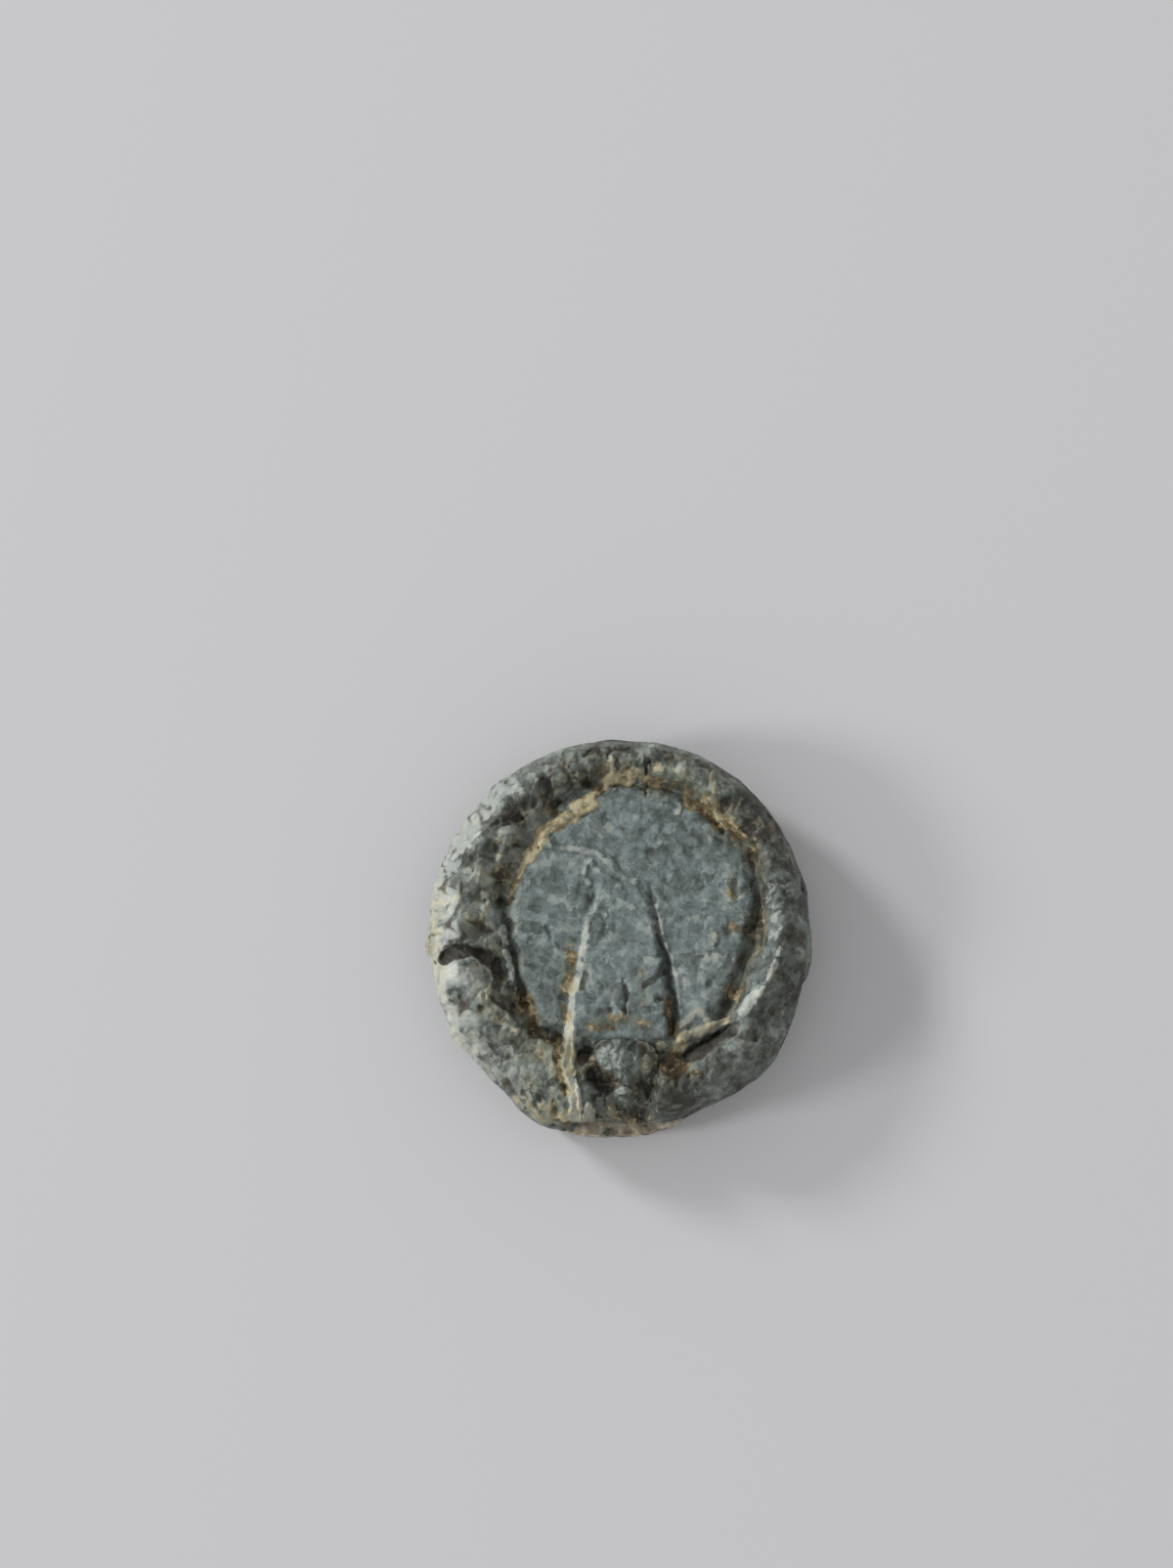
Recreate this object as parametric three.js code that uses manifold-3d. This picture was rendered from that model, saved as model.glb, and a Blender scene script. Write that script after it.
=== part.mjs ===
// A small lead seal, pressed shut on a doubled cord that has since rotted away.
// Two lead leaves lie face to face with a tunnel for the cord between them, and a lead rivet
// near the tunnel's mouth, struck over on the front, kept the leaves shut and the knot inside.
// Millimetres. The seal lies on its flat back: +Z is up, out of the struck face, and +Y runs
// from the tunnel's mouth to the far edge. The origin is on the back, in the middle of its box.
import * as THREE from 'three';
import { mergeVertices } from 'three/addons/utils/BufferGeometryUtils.js';
import Module from 'manifold-3d';

const wasm = await Module();
wasm.setup();

// The lines round the front leaf, as clock angles and distances from the middle of the disc.
// 0 is at the far edge, 90 at the right and 180 at the tunnel's mouth.
const outerLine = [
  [0, 8.68], [12, 8.7], [20, 8.74], [31, 8.69], [40, 8.67], [50, 8.6], [60, 8.47], [74, 8.42],
  [81, 8.35], [90, 8.35], [97, 8.41], [101, 8.35], [104, 8.2], [112, 8.25], [118, 8.36],
  [130, 8.55], [136, 8.54], [142, 8.4], [153, 8.18], [160, 8.24], [167, 8.15], [174, 8.0],
  [184, 7.9], [190, 8.05], [196, 8.68], [203, 8.76], [210, 8.54], [217, 8.28], [225, 8.2],
  [232, 8.2], [240, 8.42], [246, 8.22], [256, 8.25], [261, 8.14], [268, 8.45], [271, 8.2],
  [277, 8.18], [282, 8.42], [292, 8.39], [305, 8.46], [315, 8.56], [321, 8.66], [332, 8.63],
  [346, 8.67],
];
const crestLine = [
  [0, 7.85], [30, 7.8], [45, 7.5], [60, 7.4], [76, 7.22], [85, 7.12], [95, 6.9], [107, 6.56],
  [121, 6.33], [135, 6.45], [150, 6.6], [180, 6.6], [205, 6.8], [225, 7.0], [245, 7.2],
  [262, 7.0], [277, 6.97], [287, 7.04], [298, 7.4], [306, 7.45], [315, 7.46], [328, 7.5],
  [340, 7.8],
];
const grooveLine = [
  [0, 6.93], [24, 6.9], [36, 6.7], [45, 6.62], [50, 6.8], [58, 6.85], [67, 6.6], [76, 6.35],
  [88, 5.95], [100, 5.7], [112, 5.65], [122, 5.75], [131, 5.95], [142, 5.8], [154, 5.6],
  [180, 5.3], [211, 5.16], [228, 5.0], [243, 4.95], [260, 4.98], [278, 5.09], [293, 5.25],
  [307, 5.49], [318, 5.85], [330, 6.26], [340, 6.6], [348, 6.86],
];

// The back leaf, drawn in a little from the front's outer line. Under the tunnel's mouth its
// lip stands out past the front leaf.
const backThickness = 1.7;
const backEdgeRound = 0.35;
const lipLine = [
  [160, 8.5], [166, 8.6], [172, 8.8], [180, 8.84], [188, 8.9], [198, 8.92], [205, 8.8],
];

// The front leaf's levels, counted from the plane where the leaves meet.
const fieldHeight = 1.75;
const rimHeight = 2.42;
const edgeHeight = 0.95;
const seamInset = 0.15;
const grooveWidth = 0.75;
const grooveDepth = 0.34;

// The profiles across the rim, as shares of the way and of the climb or fall: from the field
// to the groove, from the groove to the crest, and from the crest to the edge. The edge is
// rounded, and slanted where the tongs pressed it.
const grooveProfile = [[0, 0], [0.6, 0.5], [1, 1]];
const climbProfile = [[0, 0], [0.12, 0.15], [0.4, 0.65], [0.75, 0.92], [1, 1]];
const roundProfile = [[0, 0], [0.3, 0.04], [0.6, 0.2], [0.85, 0.54], [1, 1]];
const slantProfile = [[0, 0], [0.15, 0.1], [0.6, 0.49], [1, 1]];
const slantClock = 292;
const slantHalf = 34;
const slantFade = 10;

// The rim's corroded surface swells and sinks. Its waves each have a length, a direction
// counted from +X towards +Y, and a phase.
const waves = [
  [1.35, 12, 40], [1.6, 75, 200], [1.8, 140, 310], [1.5, 110, 95],
  [2.1, 165, 10], [2.4, 40, 250], [1.7, 95, 150], [2.8, 125, 80],
];
const swellRise = 0.12;

// The roof: the tapered swelling that the cord's tunnel left in the field. Each row is a
// place along Y with the roof's left and right side there.
const roofRows = [
  [2.0, -0.91, 1.24], [1.4, -1.07, 1.42], [0.8, -1.39, 1.46], [-0.6, -1.52, 1.8],
  [-1.7, -1.74, 1.99], [-2.7, -2.02, 2.1], [-3.6, -2.1, 2.11], [-4.5, -2.2, 2.12],
];
const roofTipY = 2.9;
const roofTopRise = 0.12;
const roofBottomRise = 0.45;
const roofSideSlope = 0.26;

// The torn edge that goes on from the roof's left side through the rim, and the ridges left
// standing beside the groove. Each ridge is a line of places, its width and its rise.
const tornLine = [
  [-2.15, -3.9], [-2.32, -5.1], [-2.14, -5.9], [-1.96, -6.5], [-1.84, -7.1], [-1.72, -7.9],
];
const leftRidgeLine = [
  [-5.43, 1.6], [-5.31, 0.8], [-5.07, -0.1], [-4.77, -1.1], [-4.69, -2.0], [-4.5, -2.9],
];
const rightRidgeLine = [
  [1.68, -4.78], [2.45, -4.72], [3.05, -4.52], [3.89, -4.18], [4.6, -3.71],
];
const ridges = [[tornLine, 0.42, 0.22], [leftRidgeLine, 0.4, 0.24], [rightRidgeLine, 0.4, 0.2]];

// The crack along the roof's right side, and the furrows that corrosion ate beside the groove.
// Each is a line of places, its width and its depth.
const crackLine = [
  [1.3, 2.2], [1.55, 1.4], [1.62, 0.6], [1.85, -0.5], [2.1, -1.6], [2.24, -2.8], [2.25, -4.4],
];
const innerFurrow = [
  [-4.9, 0.6], [-4.8, 0.2], [-4.68, -0.4], [-4.55, -1.1], [-4.4, -1.8], [-4.25, -2.5], [-4.1, -2.9],
];
const outerFurrow = [
  [-5.4, -0.8], [-5.35, -1.2], [-5.3, -1.9], [-5.4, -2.6], [-4.9, -2.95], [-4.4, -3.5], [-4.1, -3.8],
];
const lowerFurrow = [
  [-4.0, -4.0], [-3.75, -4.1], [-3.4, -4.25], [-3.0, -4.4], [-2.6, -4.6], [-2.4, -4.7],
];
const rightFurrow = [
  [5.7, 4.0], [5.85, 3.6], [6.05, 3.0], [6.1, 2.4], [6.2, 1.8], [6.1, 1.2], [6.05, 0.5],
  [5.8, -0.3], [5.5, -1.2], [5.2, -2.1], [4.85, -2.8], [4.55, -3.4], [4.4, -3.7],
];
const furrows = [
  [crackLine, 0.28, 0.45], [innerFurrow, 0.36, 0.2], [outerFurrow, 0.4, 0.2], [lowerFurrow, 0.45, 0.25],
  [rightFurrow, 0.5, 0.14],
];

// The tunnel between the leaves, with a chamber for the knot at its blind end.
const tunnelX = -0.2;
const tunnelHeight = 1.4;
const tunnelMouthWidth = 3.3;
const tunnelNeckWidth = 1.9;
const knotWidth = 2.7;
const knotLength = 2.6;
const knotHeight = 1.9;
const knotY = 0.2;

// The rivet, its head on a shelf in the rim and its tail let into the back.
const rivetX = 0.2;
const rivetY = -5.65;
const headRadius = 1.6;
const headHeight = 1.2;
const shankRadius = 0.8;
const tailRadius = 1.3;
const tailThickness = 0.45;
const rivetClearance = 0.3;
const shelfHeight = 1.3;
const shelfMargin = 0.25;

// The nick in the left of the rim.
const nickClock = 264;
const nickLength = 2.1;
const nickWidth = 0.8;
const nickDepth = 0.8;

// The larger hollows of the face: a middle, the length along X and along Y before its turn,
// the depth, and the turn.
const hollows = [
  [4.15, -4.75, 1.7, 0.9, 0.5, 32], [2.75, -5.4, 1.2, 0.6, 0.2, -10], [-3.4, -7.0, 0.8, 0.9, 0.22, 0],
  [-6.45, 0.6, 1.2, 1.6, 0.14, 0], [-5.15, 1.45, 0.9, 0.5, 0.18, 10], [-5.2, 2.75, 1.0, 0.9, 0.2, 0],
  [-2.7, 5.95, 1.1, 0.5, 0.18, 40], [-3.2, 6.6, 0.6, 0.85, 0.22, 0], [-1.45, 6.75, 0.5, 0.6, 0.18, 30],
  [3.7, 7.5, 1.2, 0.45, 0.18, -25], [7.7, -1.0, 1.1, 0.75, 0.17, 10], [4.0, -2.0, 0.6, 0.75, 0.18, 0],
  [-1.45, -1.85, 0.4, 1.0, 0.2, 0],
];

// How finely the round forms are divided.
const discSides = 128;
const tunnelSides = 16;
const rivetSides = 32;

// What follows from the sizes.
const seam = backThickness;
const shelfBottomY = rivetY - headRadius;
const beyond = 1;
const farY = -11;

const radians = THREE.MathUtils.degToRad;
const { lerp, smoothstep } = THREE.MathUtils;

// A closed skin over a row of rings. Each ring is a list of points that runs counterclockwise
// as seen from the next one, and the first and last rings may be single points.
function skin(rings) {
  const points = [];
  const triangles = [];
  const starts = rings.map((ring) => {
    const start = points.length;
    points.push(...ring);
    return start;
  });
  for (let i = 0; i + 1 < rings.length; i++) {
    const near = rings[i].length;
    const far = rings[i + 1].length;
    const sides = Math.max(near, far);
    for (let j = 0; j < sides; j++) {
      const next = (j + 1) % sides;
      const a = starts[i] + (near > 1 ? j : 0);
      const b = starts[i] + (near > 1 ? next : 0);
      const c = starts[i + 1] + (far > 1 ? next : 0);
      const d = starts[i + 1] + (far > 1 ? j : 0);
      if (near > 1) triangles.push(a, b, c);
      if (far > 1) triangles.push(a, c, d);
    }
  }
  const geometry = new THREE.BufferGeometry().setFromPoints(points);
  geometry.setIndex(triangles);
  return geometry;
}

// A geometry as a solid that can be joined and cut.
function solid(geometry) {
  const bare = geometry.clone();
  bare.deleteAttribute('normal');
  bare.deleteAttribute('uv');
  const merged = mergeVertices(bare, 1e-5);
  const corners = merged.index.array;
  const kept = [];
  for (let i = 0; i < corners.length; i += 3) {
    const [a, b, c] = corners.slice(i, i + 3);
    if (a !== b && b !== c && c !== a) kept.push(a, b, c);
  }
  return new wasm.Manifold(new wasm.Mesh({
    numProp: 3,
    vertProperties: Float32Array.from(merged.attributes.position.array),
    triVerts: Uint32Array.from(kept),
  }));
}

function geometryOf(manifold) {
  const { vertProperties, triVerts } = manifold.getMesh();
  const geometry = new THREE.BufferGeometry();
  geometry.setAttribute('position', new THREE.BufferAttribute(vertProperties, 3));
  geometry.setIndex(new THREE.BufferAttribute(triVerts, 1));
  const faceted = geometry.toNonIndexed();
  faceted.computeVertexNormals();
  return faceted;
}

// The value of a profile or a line at a place, straight between its points.
function valueAt(points, place) {
  const next = points.findIndex(([at]) => at > place);
  if (next === 0) return points[0][1];
  if (next < 0) return points[points.length - 1][1];
  const [low, first] = points[next - 1];
  const [high, second] = points[next];
  return lerp(first, second, (place - low) / (high - low));
}

function onClock(line, clock) {
  const turn = THREE.MathUtils.euclideanModulo(clock, 360);
  return valueAt([...line, [360, line[0][1]]], turn);
}

function clockOf(x, y) {
  return THREE.MathUtils.radToDeg(Math.atan2(x, y));
}

// A ring of points, counterclockwise from above, each at a clock angle and its radius.
function ringOf(radiusAt, levelAt) {
  return Array.from({ length: discSides }, (_, i) => {
    const clock = -(i / discSides) * 360;
    const radius = radiusAt(clock);
    const x = radius * Math.sin(radians(clock));
    const y = radius * Math.cos(radians(clock));
    return new THREE.Vector3(x, y, levelAt(x, y, clock));
  });
}

// How far the waves together lift a place, about -1 to 1.
function swell(x, y) {
  const lifts = waves.map(([length, direction, phase]) => {
    const along = x * Math.cos(radians(direction)) + y * Math.sin(radians(direction));
    return Math.sin((along / length) * 2 * Math.PI + radians(phase));
  });
  return lifts.reduce((sum, lift) => sum + lift, 0) / 4;
}

// The front's level above the seam, before the roof, the ridges and the cuts.
function faceLevel(x, y) {
  const radius = Math.hypot(x, y);
  const clock = clockOf(x, y);
  const groove = onClock(grooveLine, clock);
  const crest = onClock(crestLine, clock);
  const foot = fieldHeight - grooveDepth;
  const swollen = swellRise * swell(x, y) * smoothstep(radius - groove, 0, 0.3);
  if (radius < groove) {
    return lerp(fieldHeight, foot, valueAt(grooveProfile, 1 - (groove - radius) / grooveWidth));
  }
  if (radius < crest) {
    return lerp(foot, rimHeight, valueAt(climbProfile, (radius - groove) / (crest - groove))) + swollen;
  }
  const share = (radius - crest) / (onClock(outerLine, clock) - crest);
  const aside = Math.abs(THREE.MathUtils.euclideanModulo(clock - slantClock + 180, 360) - 180);
  const onSlant = 1 - smoothstep(aside, slantHalf - slantFade, slantHalf + slantFade);
  const fall = lerp(valueAt(roundProfile, share), valueAt(slantProfile, share), onSlant);
  return lerp(rimHeight, edgeHeight, fall) + swollen;
}

function frontLeafBody() {
  const outer = (clock) => onClock(outerLine, clock);
  const onFace = (x, y) => seam + faceLevel(x, y);
  const between = (first, second, share) => ringOf(
    (clock) => lerp(onClock(first, clock), onClock(second, clock), share), onFace,
  );
  const inField = (inset) => ringOf((clock) => onClock(grooveLine, clock) - inset, onFace);
  const rings = [
    ringOf((clock) => outer(clock) - seamInset, () => seam),
    ringOf(outer, () => seam + edgeHeight * 0.45),
    ...[1, 0.85, 0.6, 0.45, 0.3, 0.15].map((share) => between(crestLine, outerLine, share)),
    ...[1, 0.75, 0.55, 0.4, 0.25, 0.12, 0].map((share) => between(grooveLine, crestLine, share)),
    inField(grooveWidth * 0.4),
    inField(grooveWidth),
    ringOf((clock) => onClock(grooveLine, clock) / 2, () => seam + fieldHeight),
  ];
  const under = [new THREE.Vector3(0, 0, seam)];
  const middle = [new THREE.Vector3(0, 0, seam + fieldHeight)];
  return solid(skin([under, ...rings, middle]));
}

function backLeafBody() {
  const section = [
    [0, backEdgeRound],
    [backEdgeRound * 0.3, backEdgeRound * 0.3],
    [backEdgeRound, 0],
    [backThickness, 0],
  ];
  const [lipStart] = lipLine[0];
  const [lipEnd] = lipLine[lipLine.length - 1];
  const reach = (clock) => {
    const turn = THREE.MathUtils.euclideanModulo(clock, 360);
    const edge = onClock(outerLine, clock) - seamInset;
    return turn < lipStart || turn > lipEnd ? edge : Math.max(edge, valueAt(lipLine, turn));
  };
  const rings = section.map(([level, inset]) => ringOf((clock) => reach(clock) - inset, () => level));
  const under = [new THREE.Vector3(0, 0, 0)];
  const top = [new THREE.Vector3(0, 0, backThickness)];
  return solid(skin([under, ...rings, top]));
}

function roof() {
  const sunk = seam + fieldHeight - grooveDepth;
  const [topY, topLeft, topRight] = roofRows[0];
  const [bottomY] = roofRows[roofRows.length - 1];
  const rings = roofRows.map(([y, left, right]) => {
    const down = (topY - y) / (topY - bottomY);
    const level = seam + fieldHeight + lerp(roofTopRise, roofBottomRise, down);
    return [
      new THREE.Vector3(left, y, sunk),
      new THREE.Vector3(right, y, sunk),
      new THREE.Vector3(right - roofSideSlope, y, level),
      new THREE.Vector3(left + roofSideSlope, y, level),
    ];
  });
  const middleX = (topLeft + topRight) / 2;
  const tip = [new THREE.Vector3(middleX, roofTipY, sunk)];
  const end = [new THREE.Vector3(middleX, bottomY, sunk)];
  return solid(skin([tip, ...rings, end]));
}

// A wedge along a line of places, each with the level of the surface there. Its edge lies at
// the reach above the surface, or below it for a cut, and it has its width at the surface. It
// thins out to nothing at both ends.
function wedge(places, width, reach) {
  const rings = places.map(({ x, y, level }, i) => {
    if (i === 0 || i === places.length - 1) return [new THREE.Vector3(x, y, level)];
    const before = places[i - 1];
    const after = places[i + 1];
    const side = new THREE.Vector2(before.y - after.y, after.x - before.x).normalize();
    const aside = -Math.sign(reach) * width;
    return [
      new THREE.Vector3(x, y, level + reach),
      new THREE.Vector3(x + side.x * aside, y + side.y * aside, level - reach),
      new THREE.Vector3(x - side.x * aside, y - side.y * aside, level - reach),
    ];
  });
  return solid(skin(rings));
}

function onFace(line) {
  return line.map(([x, y]) => ({ x, y, level: seam + faceLevel(x, y) }));
}

function nick() {
  const turn = radians(nickClock);
  const edge = onClock(outerLine, nickClock);
  const rows = 4;
  const places = Array.from({ length: rows + 1 }, (_, i) => {
    const radius = edge + nickLength * (0.25 - i / rows);
    const level = seam + lerp(edgeHeight, rimHeight, i / rows);
    return { x: radius * Math.sin(turn), y: radius * Math.cos(turn), level };
  });
  return wedge(places, nickWidth, -nickDepth);
}

function hollow([x, y, lengthX, lengthY, depth, turn]) {
  const bowl = new THREE.SphereGeometry(1, 12, 8);
  bowl.scale(lengthX / 2, lengthY / 2, depth);
  bowl.rotateZ(radians(turn));
  return solid(bowl.translate(x, y, seam + faceLevel(x, y)));
}

// The tunnel's sections, from its blind end to beyond the mouth: the place along Y, and the
// width and height of an oval there.
function tunnel() {
  const knotTop = knotY + knotLength / 2;
  const knotBottom = knotY - knotLength / 2;
  const sections = [
    [knotTop - knotLength * 0.12, knotWidth * 0.6, knotHeight * 0.6],
    [knotTop - knotLength * 0.35, knotWidth, knotHeight],
    [knotBottom + knotLength * 0.35, knotWidth, knotHeight],
    [knotBottom, tunnelNeckWidth, tunnelHeight],
    [rivetY, tunnelMouthWidth, tunnelHeight],
    [farY, tunnelMouthWidth, tunnelHeight],
  ];
  const rings = sections.map(([y, width, height]) => Array.from({ length: tunnelSides }, (_, i) => {
    const angle = (i / tunnelSides) * 2 * Math.PI;
    const x = tunnelX + (width / 2) * Math.cos(angle);
    return new THREE.Vector3(x, y, seam + (height / 2) * Math.sin(angle));
  }));
  const blindEnd = [new THREE.Vector3(tunnelX, knotTop, seam)];
  const outside = [new THREE.Vector3(tunnelX, farY, seam)];
  return solid(skin([blindEnd, ...rings, outside]));
}

// The shelf under the rivet's head, open upwards. It ends at shelfBottomY, past which the
// front leaf is broken away down to the tunnel.
function shelfCut() {
  const half = headRadius + shelfMargin;
  const plan = new THREE.Shape();
  plan.moveTo(rivetX - half, rivetY);
  plan.absarc(rivetX, rivetY, half, Math.PI, 0, true);
  plan.lineTo(rivetX + half, farY);
  plan.lineTo(rivetX - half, farY);
  plan.closePath();
  const block = new THREE.ExtrudeGeometry(plan, {
    depth: rimHeight + headHeight, bevelEnabled: false, curveSegments: rivetSides / 2,
  });
  return solid(block.translate(0, 0, seam + shelfHeight));
}

function mouthBreak() {
  const length = shelfBottomY - farY;
  const block = new THREE.BoxGeometry(tunnelMouthWidth, length, rimHeight * 2);
  return solid(block.translate(tunnelX, shelfBottomY - length / 2, seam + rimHeight));
}

function upright(radius, low, high) {
  const rod = new THREE.CylinderGeometry(radius, radius, high - low, rivetSides);
  rod.rotateX(Math.PI / 2);
  return solid(rod.translate(rivetX, rivetY, (low + high) / 2));
}

function frontLeaf() {
  const hole = upright(shankRadius + rivetClearance, seam - beyond, seam + rimHeight);
  const standing = ridges.map(([line, width, rise]) => wedge(onFace(line), width, rise));
  const joined = [roof(), ...standing].reduce((leaf, form) => leaf.add(form), frontLeafBody());
  const sunk = furrows.map(([line, width, depth]) => wedge(onFace(line), width, -depth));
  const cuts = [...sunk, ...hollows.map(hollow), nick(), tunnel(), shelfCut(), mouthBreak(), hole];
  return cuts.reduce((leaf, cut) => leaf.subtract(cut), joined);
}

function backLeaf() {
  const hole = upright(shankRadius + rivetClearance, -beyond, seam + beyond);
  const recess = upright(tailRadius + rivetClearance, -beyond, tailThickness);
  return backLeafBody().subtract(tunnel()).subtract(hole).subtract(recess);
}

// The rivet's outline from its tail to the top of its round head, which was struck over cold
// and is flatter in the middle.
function closingRivet() {
  const shelf = seam + shelfHeight;
  const outline = [
    new THREE.Vector2(0, 0),
    new THREE.Vector2(tailRadius, 0),
    new THREE.Vector2(tailRadius, tailThickness),
    new THREE.Vector2(shankRadius, tailThickness),
    new THREE.Vector2(shankRadius, shelf),
    new THREE.Vector2(headRadius, shelf),
    new THREE.Vector2(headRadius, shelf + headHeight * 0.25),
  ];
  const steps = 5;
  for (let i = 1; i <= steps; i++) {
    const turn = (i / steps) * (Math.PI / 2);
    const radius = headRadius * Math.cos(turn);
    outline.push(new THREE.Vector2(
      i === steps ? 0 : radius, shelf + headHeight * (0.25 + 0.75 * Math.sin(turn)),
    ));
  }
  const turned = new THREE.LatheGeometry(outline, rivetSides);
  turned.rotateX(Math.PI / 2);
  return solid(turned.translate(rivetX, rivetY, 0));
}

function part(name, manifold, material) {
  const mesh = new THREE.Mesh(geometryOf(manifold), material);
  mesh.name = name;
  return mesh;
}

const patinatedLead = new THREE.MeshStandardMaterial({
  color: 0x6b736f, roughness: 0.78, metalness: 0.25,
});
const earthyLead = new THREE.MeshStandardMaterial({
  color: 0x77705f, roughness: 0.88, metalness: 0.1,
});
const hammeredLead = new THREE.MeshStandardMaterial({
  color: 0x62645c, roughness: 0.72, metalness: 0.3,
});

const seal = new THREE.Group();
seal.add(
  part('front_leaf', frontLeaf(), patinatedLead),
  part('back_leaf', backLeaf(), earthyLead),
  part('closing_rivet', closingRivet(), hammeredLead),
);

// The origin comes to the middle of the seal's own box, on its back.
const middle = new THREE.Box3().setFromObject(seal).getCenter(new THREE.Vector3());
seal.position.set(-middle.x, -middle.y, 0);

export default seal;
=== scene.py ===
import math
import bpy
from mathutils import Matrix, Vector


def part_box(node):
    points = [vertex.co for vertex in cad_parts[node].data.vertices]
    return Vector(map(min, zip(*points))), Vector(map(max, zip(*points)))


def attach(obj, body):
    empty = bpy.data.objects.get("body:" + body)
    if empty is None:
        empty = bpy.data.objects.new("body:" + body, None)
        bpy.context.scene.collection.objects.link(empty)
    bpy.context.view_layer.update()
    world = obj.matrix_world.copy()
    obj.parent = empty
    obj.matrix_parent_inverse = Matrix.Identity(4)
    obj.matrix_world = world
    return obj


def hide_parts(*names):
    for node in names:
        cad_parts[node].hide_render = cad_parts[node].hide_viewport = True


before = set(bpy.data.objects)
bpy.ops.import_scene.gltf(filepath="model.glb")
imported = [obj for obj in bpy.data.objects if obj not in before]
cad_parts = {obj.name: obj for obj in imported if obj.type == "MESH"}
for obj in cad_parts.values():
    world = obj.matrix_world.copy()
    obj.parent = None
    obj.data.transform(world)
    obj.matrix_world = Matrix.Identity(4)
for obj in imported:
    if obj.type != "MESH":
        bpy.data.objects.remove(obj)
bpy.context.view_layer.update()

from types import SimpleNamespace

import bmesh
import bpy
import numpy as np
from mathutils import Euler, Vector, noise

print("frame loaded")

mm = 0.001

# Places on the disc are in millimetres from its centre and from the seam between the leaves,
# x to the right, y up and z towards the viewer. Directions are clock angles: 0 at the top and
# 90 at the right.
frontLow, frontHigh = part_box("front_leaf")
backLow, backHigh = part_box("back_leaf")
rivetLow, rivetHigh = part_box("closing_rivet")
seam = backHigh.z
centreAside = 0.02 * mm  # right of the middle of the front leaf's box
centreBelow = 8.68 * mm  # below the top of that box
discCentre = Vector(((frontLow.x + frontHigh.x) / 2 + centreAside, frontHigh.y - centreBelow, 0))
rivetX = ((rivetLow.x + rivetHigh.x) / 2 - discCentre.x) / mm
rivetY = ((rivetLow.y + rivetHigh.y) / 2 - discCentre.y) / mm


# Shading

class Wire:
    def __init__(self, tree, socket):
        self.tree = tree
        self.socket = socket

    def node(self, kind, settings=None, values=None, output=0):
        node = self.tree.nodes.new(kind)
        for key, value in (settings or {}).items():
            if key == "stops":
                elements = node.color_ramp.elements
                while len(elements) < len(value):
                    elements.new(1)
                for element, (position, colour) in zip(elements, value):
                    element.position = position
                    element.color = (*colour, 1)
            else:
                setattr(node, key, value)
        for key, value in (values or {}).items():
            if isinstance(value, Wire):
                self.tree.links.new(value.socket, node.inputs[key])
            else:
                node.inputs[key].default_value = value
        return Wire(self.tree, node.outputs[output] if node.outputs else None)

    def math(self, operation, first, second):
        return self.node("ShaderNodeMath", {"operation": operation}, {0: first, 1: second})

    def __add__(self, other):
        return self.math("ADD", self, other)

    def __sub__(self, other):
        return self.math("SUBTRACT", self, other)

    def __rsub__(self, other):
        return self.math("SUBTRACT", other, self)

    def __mul__(self, other):
        return self.math("MULTIPLY", self, other)

    __radd__ = __add__
    __rmul__ = __mul__

    def attribute(self, name):
        return self.node("ShaderNodeAttribute", {"attribute_name": name}, output="Fac")

    def grain(self, size, detail=3, roughness=0.55, distortion=0.0):
        values = {"Vector": self, "Scale": 1 / size, "Detail": detail,
                  "Roughness": roughness, "Distortion": distortion}
        return self.node("ShaderNodeTexNoise", None, values)

    def cells(self, size):
        colour = self.node("ShaderNodeTexVoronoi", None, {"Vector": self, "Scale": 1 / size}, "Color")
        return self.node("ShaderNodeSeparateColor", None, {"Color": colour})

    def borders(self, size):
        values = {"Vector": self, "Scale": 1 / size}
        return self.node("ShaderNodeTexVoronoi", {"feature": "DISTANCE_TO_EDGE"}, values)

    def vector(self, operation, values):
        return self.node("ShaderNodeVectorMath", {"operation": operation}, {0: self, **values})

    def step(self, low, high):
        values = {"Value": self, "From Min": low, "From Max": high}
        return self.node("ShaderNodeMapRange", {"interpolation_type": "SMOOTHSTEP"}, values)

    def ramp(self, stops):
        return self.node("ShaderNodeValToRGB", {"stops": stops}, {"Fac": self})

    def mix(self, first, second, blend="MIX"):
        colours = [(*c, 1) if isinstance(c, tuple) else c for c in (first, second)]
        settings = {"data_type": "RGBA", "blend_type": blend}
        return self.node("ShaderNodeMix", settings, {0: self, 6: colours[0], 7: colours[1]}, 2)


# A new material, and places on its piece in millimetres
def newMaterial(name):
    material = bpy.data.materials.new(name)
    material.use_nodes = True
    tree = material.node_tree
    tree.nodes.clear()
    place = Wire(tree, None).node("ShaderNodeTexCoord", output="Object")
    return material, place.vector("SCALE", {"Scale": 1 / mm})


def finishMaterial(values, last):
    surface = last.node("ShaderNodeBsdfPrincipled", None, values)
    last.node("ShaderNodeOutputMaterial", None, {"Surface": surface})


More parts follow.
